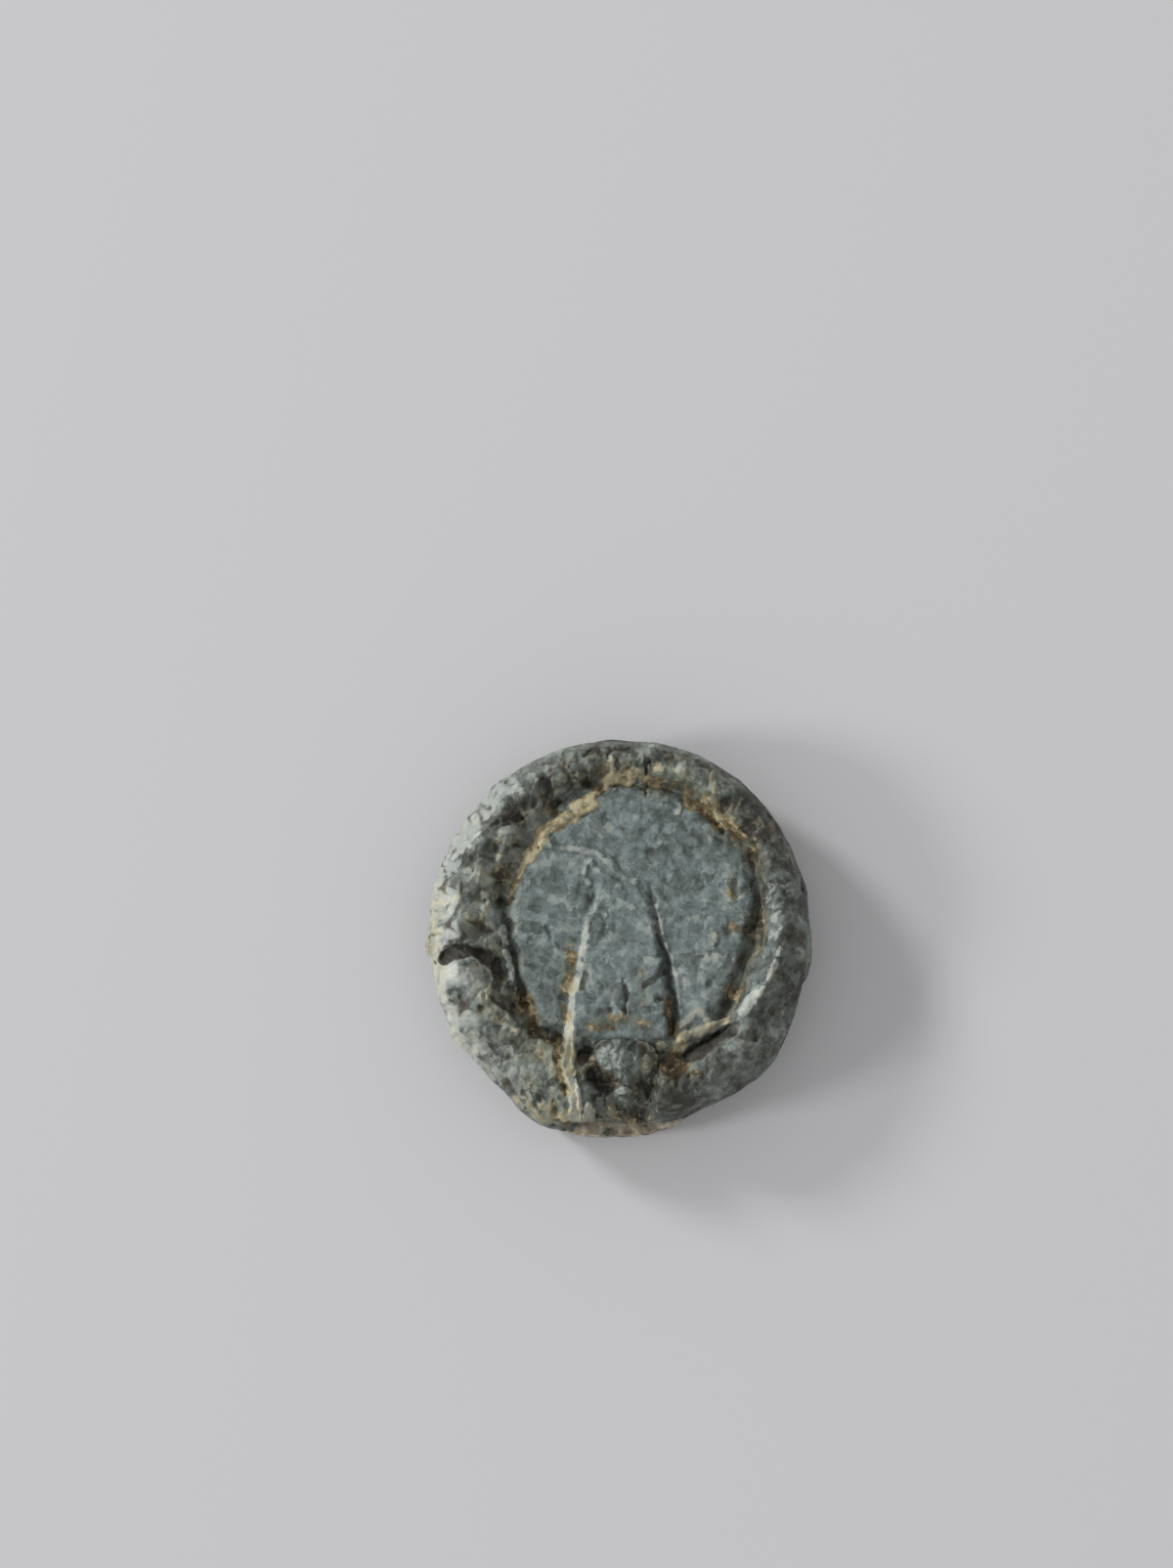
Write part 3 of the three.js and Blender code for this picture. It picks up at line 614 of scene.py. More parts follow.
        ((-3.05, 0.2, 0.1, 0.4, 20), -0.1, 0, 0, 0.7),
        ((-2.5, -0.45, 0.3, 0.08, -35), -0.08, 0, 0, 0.5),
        ((4.6, -1.1, 0.62, 0.5, -15), 0.1, 0.42, 0, 0), ((3.8, -1.1, 0.22, 0.3, 0), 0.08, 0.38, 0, 0),
        ((3.4, -1.35, 0.22, 0.28, 10), -0.08, 0, 0, 0.6), ((3.0, -1.9, 0.35, 0.5, 10), 0.06, 0.3, 0, 0),
        ((4.0, -2.0, 0.2, 0.28, 15), -0.1, 0, 0, 0.7),
        ((4.5, -2.2, 0.3, 0.25, 20), 0.05, 0.25, 0.15, 0),
        ((4.15, -0.1, 0.2, 0.27, 0), 0.1, 0.85, 0.35, 0),
        ((-0.55, 0.95, 0.14, 0.14, 0), 0.06, 0.7, 0, 0), ((-0.6, 0.1, 0.12, 0.22, 0), -0.08, 0, 0, 0.6),
        ((-1.45, -1.85, 0.14, 0.42, 0), -0.14, 0, 0, 0.75),
        ((-1.22, 1.55, 0.16, 0.3, -15), -0.14, 0, 0, 0.75),
        ((0.05, -2.9, 0.32, 0.5, 8), 0.08, 0.3, 0.1, 0), ((0.3, -2.6, 0.13, 0.5, -5), -0.16, 0, 0, 0.9),
        ((-0.4, -3.3, 0.4, 0.13, 12), -0.12, 0, 0, 0.6), ((1.5, -3.3, 0.5, 0.3, 10), 0.06, 0.3, 0, 0),
        ((1.75, -2.75, 0.22, 0.12, -15), -0.14, 0, 0, 0.8),
        ((-0.75, -4.0, 0.45, 0.22, 5), 0.04, 0.2, 0.6, 0),
        ((0.1, -3.75, 1.4, 0.35, 3), 0, 0.05, 0.5, 0), ((1.0, -2.2, 0.35, 0.9, 0), 0, 0, 0.3, 0),
        ((-2.3, -1.6, 0.3, 1.6, -8), 0, 0, 0.28, 0), ((-3.2, 6.6, 0.28, 0.4, 0), -0.2, 0, 0, 0.9),
        ((-1.45, 6.75, 0.24, 0.3, 30), -0.16, 0, 0.2, 0.8),
        ((-2.7, 5.95, 0.5, 0.22, 40), -0.16, 0, 0, 0.9),
        ((-4.15, 4.8, 0.2, 0.4, 0), -0.14, 0, 0.1, 0.8), ((-4.6, 5.2, 0.5, 0.18, 15), -0.14, 0, 0, 0.8),
        ((-4.75, 4.65, 0.3, 0.18, 20), 0.08, 0.75, 0, -0.3),
        ((-5.0, 4.3, 0.2, 0.4, 0), 0.1, 0.6, 0, -0.3), ((-4.3, 4.05, 0.4, 0.12, 0), -0.14, 0, 0.1, 0.8),
        ((-5.2, 3.5, 0.2, 0.5, -12), 0.14, 0.75, 0.1, -0.3),
        ((-6.1, 2.9, 0.24, 0.5, -5), 0.14, 0.75, 0.15, -0.3),
        ((-5.2, 2.75, 0.45, 0.4, 0), -0.18, 0, 0.15, 0.85),
        ((-4.95, 2.45, 0.2, 0.2, 0), 0.08, 0.25, 0.3, 0),
        ((-5.15, 1.45, 0.4, 0.22, 10), -0.16, 0, 0, 0.9),
        ((-5.75, 1.5, 0.25, 0.4, 15), 0.1, 0.6, 0, -0.3), ((-6.3, 1.3, 0.3, 0.5, 0), -0.1, 0, 0, 0.6),
        ((-0.25, 7.4, 0.17, 0.5, 5), 0.16, 0.85, 0.1, -0.2),
        ((0.65, 7.2, 0.22, 0.42, -20), 0.14, 0.85, 0.15, -0.2),
        ((-0.6, 6.95, 0.3, 0.16, 20), 0.06, 0.6, 0.25, 0),
        ((1.9, 7.2, 0.35, 0.18, -10), 0.08, 0.5, 0.1, 0),
        ((-1.9, 6.9, 0.16, 0.45, 25), 0.1, 0.5, 0.1, 0), ((-1.2, 7.6, 0.45, 0.3, 5), 0.08, 0.3, 0, 0),
        ((0.4, 7.4, 0.14, 0.2, 0), -0.1, 0, 0.3, 0.5), ((1.2, 7.3, 0.1, 0.55, 0), -0.14, 0, 0, 0.9),
        ((0.0, 8.15, 0.9, 0.14, -4), -0.1, 0, 0, 0.8), ((-1.0, 8.0, 0.7, 0.16, 10), -0.1, 0, 0, 0.7),
        ((3.7, 7.5, 0.55, 0.2, -25), -0.16, 0, 0.25, 0.8),
        ((3.6, 7.85, 0.5, 0.12, -22), 0.06, 0.5, 0.1, 0),
        ((3.2, 7.2, 0.45, 0.25, -20), 0.06, 0.35, 0.1, 0), ((2.4, 7.6, 0.3, 0.3, 0), -0.1, 0, 0, 0.4),
        ((-7.0, -2.75, 0.4, 0.16, 25), -0.08, 0, 0, 0.35),
        ((-6.5, -3.3, 0.28, 0.16, -10), 0.06, 0.45, 0, 0),
        ((-3.45, -6.95, 0.4, 0.4, 20), 0.08, 0.35, 0, -0.7),
        ((-2.4, -7.7, 0.35, 0.28, 0), 0.06, 0.7, 0.2, -0.3),
        ((-3.1, -7.6, 0.8, 0.4, -25), 0, 0.35, 0.28, -0.2),
        ((-3.9, -6.3, 0.5, 0.4, -40), 0, 0.3, 0.15, -0.2),
        ((-4.6, -3.95, 0.35, 0.25, 0), 0.08, 0.3, 0, 0), ((-4.4, -4.6, 0.35, 0.2, 0), -0.1, 0, 0, 0.5),
        ((-7.7, 0.6, 0.36, 0.3, 0), -0.12, -0.35, 0, 0),
        ((-7.6, 1.4, 0.6, 0.6, 0), 0.04, 0.9, 0.1, -0.3),
        ((-7.1, 2.5, 0.45, 0.45, 0), -0.05, -0.5, 0, 0),
        ((7.7, -0.15, 0.55, 0.45, 0), -0.12, 0, 0, 0.5), ((7.7, -1.2, 0.4, 0.3, 10), -0.12, 0, 0, 0.45),
        ((7.3, -2.4, 0.28, 0.6, -15), -0.12, 0, 0, 0.45),
        ((6.5, -5.1, 0.7, 0.35, 40), -0.12, 0, 0, 0.5), ((7.4, 3.2, 0.3, 0.4, 0), 0.06, 0.3, 0, 0),
        # rubble in the mouth, and painted shadow right of the torn edge
        ((0.1, -6.75, 0.27, 0.25, 10), 0.3, 0.75, 0.1, -0.6),
        ((-1.28, -7.65, 0.26, 0.4, 10), 0.25, 0.85, 0.1, -0.8),
        # painted shadow: these two dark spots stand for the shade that the torn edge casts over the valley
        # and the head's left side
        ((-1.5, -5.15, 0.36, 0.5, -10), -0.12, -0.2, 0, 1.1),
        ((-0.85, -6.0, 0.5, 0.28, -40), 0, 0, 0, 1.0),
        ((-1.1, -4.65, 0.14, 0.17, 0), 0.1, 0.6, 0.1, -0.5),
        ((-1.82, -6.05, 0.12, 0.12, 0), -0.08, -0.8, 0, 0.6),
        ((-0.4, -7.55, 0.4, 0.2, -10), 0.14, 0.15, 0.1, -0.3),
        ((1.0, -7.1, 0.25, 0.5, 0), 0.16, 0.2, 0.1, -0.4),
        ((0.9, -7.8, 0.4, 0.2, 10), 0.2, 0.3, 0.2, -0.4),
        ((0.1, -8.0, 1.4, 0.25, 0), 0.1, 0.35, 0.3, -0.5),
    ],
    # broad places that are lighter or darker in tone; the darker ones on the rim's right and upper right
    # are partly painted shade on slopes that face away from the lights, and the one right of the notch is
    # painted shadow below its cliff
    "tonesAndPaintedShade": [
        ((-5.8, -0.7, 0.7, 0.6, 0), -0.12), ((7.5, -2.0, 0.6, 1.8, 15), -0.12),
        ((7.7, 2.2, 0.5, 1.4, 0), -0.08), ((-3.4, -1.9, 1.3, 1.4, 0), -0.1),
        ((3.1, -2.1, 1.1, 1.2, 0), 0.25), ((3.6, 1.4, 1.5, 1.7, 0), 0.14),
        ((0.3, -0.3, 1.3, 2.2, 0), 0.2), ((-3.2, 1.0, 1.3, 1.6, 0), 0.08),
        ((-6.3, -3.2, 1.0, 1.3, 0), 0.24), ((6.3, 0.0, 0.5, 1.6, 8), -0.08),
        ((3.4, 7.2, 1.2, 0.8, -20), 0.1), ((6.6, 4.4, 1.3, 0.9, -60), -0.1),
        ((-6.1, 2.6, 0.9, 1.0, 0), 0.12), ((-6.1, 0.5, 0.9, 1.2, 0), 0.4),
        ((3.2, -6.6, 1.4, 0.7, 20), -0.14), ((2.3, -6.8, 0.8, 1.2, 0), -0.42),
        ((0.3, 7.7, 2.2, 0.6, 0), -0.12), ((6.2, 5.2, 1.6, 1.0, -50), -0.3),
        ((0.6, 5.4, 2.6, 1.3, 0), -0.04),
    ],
    "pits": 150,
    "pitSizes": (0.1, 0.26),
    "pitDepths": (0.04, 0.14),
    "pitHollow": 2.2,
    "seed": 11,
}


# What corrosion did at each point: swellings, grains, the bulge of plates of two sizes, the
# numbers of those plates, and the borders of the larger ones
def corrosion(x, y):
    s = faceSettings
    points = flat(x, y)
    broadSize, smallSize = s["plateSizes"]
    broad, broadEdge = plates(x, y, broadSize, 41)
    small, smallEdge = plates(x, y, smallSize, 43)
    broad, small = broad - 0.5, small - 0.5
    bulge = broad * smooth(-0.04, 0.26, broadEdge) + 0.7 * small * smooth(-0.03, 0.15, smallEdge)
    border = smooth(0.22, 0.05, broadEdge) * smooth(-0.3, 0.3, grain(points, 0.8, 27, 2))
    swell = 0 * x
    for length, direction, phase in s["waves"]:
        turn = math.radians(direction)
        ahead = x * math.cos(turn) + y * math.sin(turn)
        swell += np.sin(2 * math.pi * ahead / length + math.radians(phase)) / 4
    return SimpleNamespace(lumps=swell + 0.4 * grain(points, 0.5, 21, 3),
                           grains=grain(points, 0.24, 25, 2),
                           bulge=bulge, broad=broad, small=small, border=border)


# Where each point lies: its distance out from the groove, its shares of the way to the crest
# and on to the edge, and how far it is on the rim, the bevel, the roof or the lit slope
def faceLayout(x, y):
    s = faceSettings
    at = SimpleNamespace(x=x, y=y, points=flat(x, y), clock=clockAngle(x, y), skin=corrosion(x, y))
    at.masks = {name: 0 * x for name in ("crust", "earth", "hollow")}
    radius = np.hypot(x, y)
    edge, crest, groove = (onClock(s[name], at.clock) for name in ("outline", "crest", "groove"))
    wander = s["wander"] * grain(at.points, 1.1, 3, 3)
    at.outward = radius - groove + wander
    at.toCrest = np.clip(at.outward / (crest - groove), 0, 1)
    at.toEdge = np.clip((radius + wander * 0.6 - crest) / (edge - crest), 0, 1)
    at.onRim = smooth(-0.05, 0.3, at.outward)
    at.bevel = sector(at.clock, *s["bevel"])
    at.ragged = s["ragged"] * grain(at.points, 0.4, 14, 2)

    jitter = 0.15 * grain(at.points, 0.5, 8, 3)
    at.fromRight = downward(s["roofRight"], y) - x + jitter
    at.onRoof = smooth(-0.2, 0.12, x - downward(s["roofLeft"], y) + jitter)
    at.onRoof = at.onRoof * smooth(-0.05, 0.15, at.fromRight) * smooth(2.6, 1.2, y)
    top, foot = s["roofSpan"]
    at.down = np.clip((top - y) / (top - foot), 0, 1)
    at.mouth = np.clip(at.onRoof + smooth(-4.0, -4.6, y) * smooth(2.2, 1.6, np.abs(x)), 0, 1)
    at.slope = sector(at.clock, *s["litSlope"]) * smooth(0.3, 0.5, at.toCrest)
    at.slope = at.slope * smooth(0.15, 0.02, at.toEdge)
    at.rough = at.onRim * (1 - 0.7 * at.mouth) * (1 - 0.75 * at.slope)
    return at


def rimAndField(at):
    s = faceSettings
    low, crest = s["fieldLevel"] - s["grooveDepth"], s["crestLevel"]
    inner = np.interp(at.toCrest, [0, 0.12, 0.4, 0.75, 1],
                      [low, low + 0.15, low + 0.66, crest - 0.08, crest])
    rounded, bevelled = (along(s[name], at.toEdge) for name in ("roundedFall", "bevelledFall"))
    rim = inner - rounded * (1 - at.bevel) - bevelled * at.bevel
    field = s["fieldLevel"] + 0.06 * grain(at.points, 3.5, 5)
    groove = s["grooveDepth"] * np.exp(-(at.outward / s["grooveWidth"]) ** 2)
    at.height = np.where(at.outward > 0, rim, field - groove)


# The roof of the tunnel and the crack along its right side
def tunnelRoof(at):
    s = faceSettings
    top, foot = s["roofRise"]
    rise = top + (foot - top) * at.down
    at.height += at.onRoof * smooth(-4.9, -4.3, at.y) * rise
    width, depth = (first + growth * at.down for first, growth in (s["crackWidth"], s["crackDepth"]))
    at.crack = np.exp(-((at.fromRight + width) / width) ** 2) * smooth(2.4, 1.8, at.y)
    at.crack = at.crack * smooth(-4.6, -4.0, at.y)
    at.height -= depth * at.crack


# What corrosion raised, and the pits that it ate into the rim
def corrodedSkin(at):
    s = faceSettings
    skin = (at.skin.lumps, at.skin.grains, at.skin.bulge)
    for share, lifts in ((at.rough, s["roughLifts"]), (1 - at.rough, s["smoothLifts"])):
        at.height += share * sum(lift * part for lift, part in zip(lifts, skin))
    dots = np.random.default_rng(s["seed"])
    for dot in range(s["pits"]):
        turn, share = dots.uniform(0, 360), dots.uniform(0.02, 1)
        inside, outside = onClock(s["groove"], turn), onClock(s["outline"], turn)
        reach = inside + (outside - inside) * share
        size, depth = dots.uniform(*s["pitSizes"]), dots.uniform(*s["pitDepths"])
        cx, cy = reach * math.sin(math.radians(turn)), reach * math.cos(math.radians(turn))
        pit = smooth(1.5, 0.3, np.hypot(at.x - cx, at.y - cy) / size + at.ragged * 5)
        pit = pit * (1 - at.mouth) * (1 - at.slope)
        at.height -= depth * pit
        at.masks["hollow"] += s["pitHollow"] * depth * pit


# The rivet's seat, the valley round its head and the broken mouth below it
def brokenMouth(at):
    s = faceSettings
    x, y, ragged, lumps = at.x, at.y, at.ragged, at.skin.lumps
    around = clockAngle(x - rivetX, y - rivetY)
    passage = smooth(0.0, 0.35, x - downward(s["mouthLeft"], y) + ragged)
    passage = passage * smooth(0.0, 0.45, downward(s["mouthRight"], y) - x + ragged)
    passage = passage * smooth(rivetY + 0.3, rivetY - 0.3, y)
    past = np.hypot(x - rivetX, y - rivetY) - onClock(rivetSettings["outline"], around)
    past = past + s["rivetLap"] + 0.5 * ragged
    at.recess = np.maximum(smooth(1, 0, past / onClock(s["valley"], around)), passage)
    rubble = 0.2 * lumps + 0.6 * at.skin.bulge + 0.5 * np.clip(past, 0, 0.5)
    shelf = downward(s["shelfLevel"], y) + smooth(-0.6, 0.15, past) * np.maximum(rubble, -0.15)
    seat = s["seatDepth"] * smooth(-0.05, -0.3, past)
    shelf -= seat * (1 - sector(around, *s["wornSeat"]))
    at.height += (np.minimum(shelf, at.height) - at.height) * at.recess
    hollow = at.masks["hollow"] * (1 - at.recess)
    at.masks["hollow"] = hollow + at.recess * (0.62 - 0.5 * lumps)


def addMark(at, here, rise, amounts):
    at.height += rise * here
    here = here * at.worn
    for name, amount in zip(("crust", "earth", "hollow"), amounts):
        at.masks[name] += amount * here


def marks(at):
    s = faceSettings
    x, y, ragged, small = at.x, at.y, at.ragged, at.skin.small
    for line, change, reach in s["ledges"]:
        distance, right = besideLine(x, y, line)
        right += 1.3 * ragged
        step = change * smooth(0, 0.1, right) * np.clip(1.06 - right / reach, 0, 1)
        at.height += step * smooth(0.4, 0, distance - np.abs(right))
    at.height = soften(at.height, *s["heightLimit"])
    at.worn = np.clip(0.95 + 0.5 * small + 0.9 * grain(at.points, 0.7, 37, 2), 0.3, 1.3)
    for line, width, rise, *amounts in s["strokes"]:
        distance = (besideLine(x, y, line)[0] + ragged) / width
        addMark(at, smooth(1.35, 0.6, distance), rise, amounts)
    for place, rise, *amounts in s["spots"]:
        distance = ovalDistance(x, y, place) + (1.6 * ragged + 0.14 * small) / min(place[2:4])
        addMark(at, smooth(1.4, 0.6, distance), rise, amounts)


# What the shading needs: crust, earth and hollows, the lead's tone, and how far its grain is
# the field's
def faceMasks(at):
    s = faceSettings
    clock, toCrest, toEdge, onRim = at.clock, at.toCrest, at.toEdge, at.onRim
    lumps, broad, small = at.skin.lumps, at.skin.broad, at.skin.small
    crust, earth, hollow = (at.masks[name] for name in ("crust", "earth", "hollow"))
    bevelled = smooth(0.3, 0.5, at.bevel)
    bevelled = bevelled * smooth(0.0, 0.1, toEdge - 0.16 + 0.3 * broad + 0.12 * small)
    crust += bevelled * (0.76 + 0.35 * broad + 0.25 * small)
    crust += sector(clock, *s["paleEdge"]) * smooth(0.5, 0.8, toEdge) * (0.85 + 0.7 * broad)
    crust += sector(clock, *s["paleRise"]) * smooth(0.15, 0.5, toCrest) * (0.42 + 0.4 * broad)
    ring = np.exp(-((at.outward - 0.1) / 0.4) ** 2)
    earth = earth + ring * (0.05 + 0.35 * grain(at.points, 1.3, 33, 2)) + 0.05 * at.recess
    earth += 0.16 * onRim * smooth(1.0, 0.6, toCrest) * (1 - at.slope)
    earth += 0.25 * sector(clock, *s["earthyEdge"]) * smooth(0.4, 0.7, toEdge)
    earth += stretches(s["rimEarth"], clock) * onRim
    # painted shade: hollow is raised along the crack beside the roof, more towards the roof's foot
    hollow = hollow + 0.6 * at.crack * at.down + 0.4 * at.crack - lumps * 0.3 * at.rough
    dark = 0.1 + (0.2 + 0.3 * sector(clock, *s["darkBorders"])) * at.rough
    hollow += at.skin.border * dark
    tone = 0.56 + 0.12 * grain(at.points, 2.2, 35, 2) + stretches(s["rimTones"], clock) * onRim
    for place, lighter in s["tonesAndPaintedShade"]:
        tone += lighter * smooth(1.3, 0.6, ovalDistance(at.x, at.y, place))
    contrast = at.rough * (1 - 0.55 * sector(clock, *s["evenTone"]))
    tone = tone + contrast * (0.17 * lumps + 0.27 * broad + 0.24 * small) - 0.03 * at.slope
    tone += (1 - at.rough) * 0.16 * (broad + small)
    inside = smooth(0.0, -0.9, at.outward + 0.9 * grain(at.points, 0.6, 39, 2)) * (1 - at.recess)
    return {"crust": soften(crust, *s["crustLimit"]), "earth": earth,
            "hollow": soften(hollow, *s["hollowLimit"]), "tone": tone,
            "field": np.maximum(inside, 0.8 * at.slope)}


# The level of the face at each point, and its masks
def faceRelief(x, y):
    at = faceLayout(x, y)
    for shape in (rimAndField, tunnelRoof, corrodedSkin, brokenMouth, marks):
        shape(at)
    return at.height, faceMasks(at)


def frontLeaf():
    s = faceSettings
    piece, share, row, clock, dx, dy = shellPiece("struck_front", s["gridSteps"], s["sideRows"])
    fall = row / s["sideRows"]
    aroundX, aroundY = dx * s["meanReach"], dy * s["meanReach"]
    ragged = s["edgeRagged"] * grain(flat(aroundX, aroundY), 0.7, 51, 2)
    reach = onClock(s["outline"], clock) + ragged
    height = faceRelief(dx * reach * share, dy * reach * share)[0]
    swell = s["sideSwell"] * np.sin(np.pi * np.clip(fall * 1.15, 0, 1))
    swell -= s["sideInset"] * smooth(0.7, 1, fall)
    crumple = s["sideCrumple"] * grain(flat(aroundX, aroundY, fall * 1.4), 1.4, 61, 3)
    crumple = crumple * smooth(0, 0.3, fall) * (1 - smooth(0.9, 1, fall))
    reach = reach * share + swell + crumple
    move(piece.data, toFrame(dx * reach, dy * reach, height * (1 - fall)))
    x, y, z = fromFrame(piece.data)
    height, masks = faceRelief(x, y)
    depth = smooth(0.3, 0.9, height - z)
    masks["field"] = masks["field"] * (1 - depth)
    masks["crust"] = masks["crust"] * (1 - 0.5 * depth)
    masks["tone"] -= 0.06 * depth
    paint(piece.data, masks)
    dress(piece, leadMaterial("patinatedLead", leadColours), "front_leaf")


# The back leaf, modelled face down and whole inside like the front one

backSettings = {
    "gridSteps": 130,
    "sideRows": 16,
    # share of those rows that climb the side; the others run inwards below the front leaf
    "climbShare": 0.6,
    # how far the edge lies inside the front leaf's, and how ragged and flaky it is
    "inset": 0.16,
    "edgeRagged": 0.1,
    "flakes": 0.1,
    # clock angle and reach of the lip below the mouth
    "lip": [(150, 0), (160, 8.5), (166, 8.55), (172, 8.68), (180, 8.7), (188, 8.76), (198, 8.8),
            (205, 8.72), (212, 0)],
    "thickness": 1.7,
    "edgeRound": 0.4,
    # how far its upper face draws in and dips below the seam
    "topInset": 1.5,
    "topDip": 0.16,
    # how far hollows reach into the flat back, for broad and for small ones
    "backWear": (0.16, 0.07),
    "scars": [((-2.6, 3.2, 1.6, 0.35, 35), -0.12), ((3.1, 2.0, 0.5, 2.2, 20), -0.1),
              ((-4.2, -2.4, 0.9, 0.7, 0), -0.14)],
    "earthColours": [(0.0, (0.05, 0.038, 0.028)), (0.3, (0.13, 0.10, 0.072)),
                     (0.65, (0.27, 0.222, 0.168)), (1.0, (0.42, 0.365, 0.29))],
}


def backLeaf():
    s = backSettings
    rows, thickness, edgeRound = s["sideRows"], s["thickness"], s["edgeRound"]
    piece, share, row, clock, dx, dy = shellPiece("plain_back", s["gridSteps"], rows, -1)
    onBack = row == 0
    aroundX, aroundY = dx * faceSettings["meanReach"], dy * faceSettings["meanReach"]
    ragged = s["edgeRagged"] * grain(flat(aroundX, aroundY), 0.9, 81, 2)
    edge = onClock(faceSettings["outline"], clock) - s["inset"] + ragged
    onLip = smooth(150, 162, clock) * smooth(206, 198, clock)
    edge += (np.maximum(onClock(s["lip"], clock), edge) - edge) * onLip
    wall = rows * s["climbShare"]
    climb = np.clip(row / wall, 0, 1)
    inward = np.clip((row - wall) / (rows - wall), 0, 1)
    flare = edgeRound * (1 - (1 - np.clip(1 - climb / 0.3, 0, 1) ** 2) ** 0.5)
    reach = (edge - edgeRound) * share + np.where(onBack, 0, edgeRound - flare)
    reach -= s["topInset"] * inward
    flakes = s["flakes"] * grain(flat(aroundX, aroundY, climb * 1.7), 0.6, 83, 3)
    reach += flakes * np.where(onBack, 0, 1 - inward)
    x, y = dx * reach, dy * reach
    points = flat(x, y)
    broad, small = s["backWear"]
    worn = broad * grain(points, 2.4, 87, 2) + small * grain(points, 0.5, 89, 3)
    for place, rise in s["scars"]:
        worn += rise * smooth(1.3, 0.5, ovalDistance(x, y, place))
    dip = s["topDip"] * (1 + 1.6 * grain(points, 0.35, 91, 2)) * (1 - inward)
    dip = np.maximum(dip, 0.01) * smooth(0.8, 1, climb) * (inward < 1)
    hollowed = np.maximum(-worn, 0) * smooth(1.0, 0.9, share)
    z = np.where(onBack, -thickness + hollowed, -thickness + thickness * climb - dip)
    move(piece.data, toFrame(x, y, z))
    x, y, z = fromFrame(piece.data)
    points = flat(x, y, z)
    patches = grain(points, 1.4, 93, 3)
    flecks = grain(points, 0.4, 97, 2)
    onLip = smooth(-7.6, -8.1, y) * smooth(-1.0, -0.3, z)
    # painted shade: the back leaf is painted darker just below the seam, under the front leaf, except at
    # the lip
    seamShade = smooth(-0.5, 0.0, z) * smooth(-7.4, -7.0, y)
    paint(piece.data, {
        "crust": (0.8 + 0.6 * flecks) * onLip + 0.25 * patches,
        "earth": 0.25 + 0.6 * patches * (1 - onLip) + (0.5 + 0.2 * flecks) * onLip,
        "hollow": 0.15 - 0.5 * patches - 0.2 * onLip + 0.7 * seamShade,
        "tone": 0.5 + 0.3 * grain(points, 0.9, 95, 2),
        "field": 0 * x,
    })
    earthy = {**leadColours, "earth": s["earthColours"]}
    dress(piece, leadMaterial("earthyLead", earthy), "back_leaf")


# The closing rivet, modelled from its head down

rivetSettings = {
    "gridSteps": 90,
    "meanReach": 1.4,
    "edgeRagged": 0.14,
    # clock angle and reach of the struck head
    "outline": [(0, 1.22), (20, 1.24), (40, 1.4), (58, 1.58), (75, 1.6), (95, 1.46), (115, 1.4),
                (135, 1.42), (155, 1.5), (175, 1.42), (195, 1.36), (212, 1.42), (232, 1.5), (250, 1.46),
                (268, 1.42), (285, 1.5), (300, 1.56), (318, 1.46), (338, 1.28)],
    "topLevel": 2.3,
    "topPlace": (-0.25, 0.35),
    # how far the head's edge stands above the shelf, how far it sinks towards the mouth, and
    # where about the rivet that is
    "edgeLift": 0.06,
    "edgeSink": 0.4,
    "sunkEdge": (190, 60, 35),
    # share of the head's reach, or the radius itself below the head, and the level of each row
    "headRows": [(1.0, 1.22), (0.98, 1.12), (0.9, 1.06), (0.72, 1.04)],
    "shankRows": [(0.8, 1.04), (0.8, 0.9), (0.8, 0.3), (0.8, -0.3), (0.8, -0.9), (0.8, -1.27)],
    "tailRows": [(1.05, -1.27), (1.3, -1.27), (1.3, -1.45), (1.28, -1.62), (1.2, -1.7)],
    # how far swellings, grains and plates lift the head
    "lifts": (0.2, 0.05, 0.3),
    "dents": [((1.0, -0.5, 0.6, 0.8, 30), -0.14), ((-1.1, 0.0, 0.5, 0.6, 20), 0.15),
              ((-0.4, -0.75, 0.6, 0.2, 10), -0.14), ((0.6, 0.75, 0.5, 0.3, -20), -0.08),
              ((-0.3, 0.35, 0.8, 0.55, 10), 0.1), ((-0.1, -1.1, 0.3, 0.25, 10), 0.3)],
    # the patch on the head's lit side that is painted paler, a painted highlight
    "paintedHighlight": (-0.15, 0.4, 0.85, 0.95, 10),
}


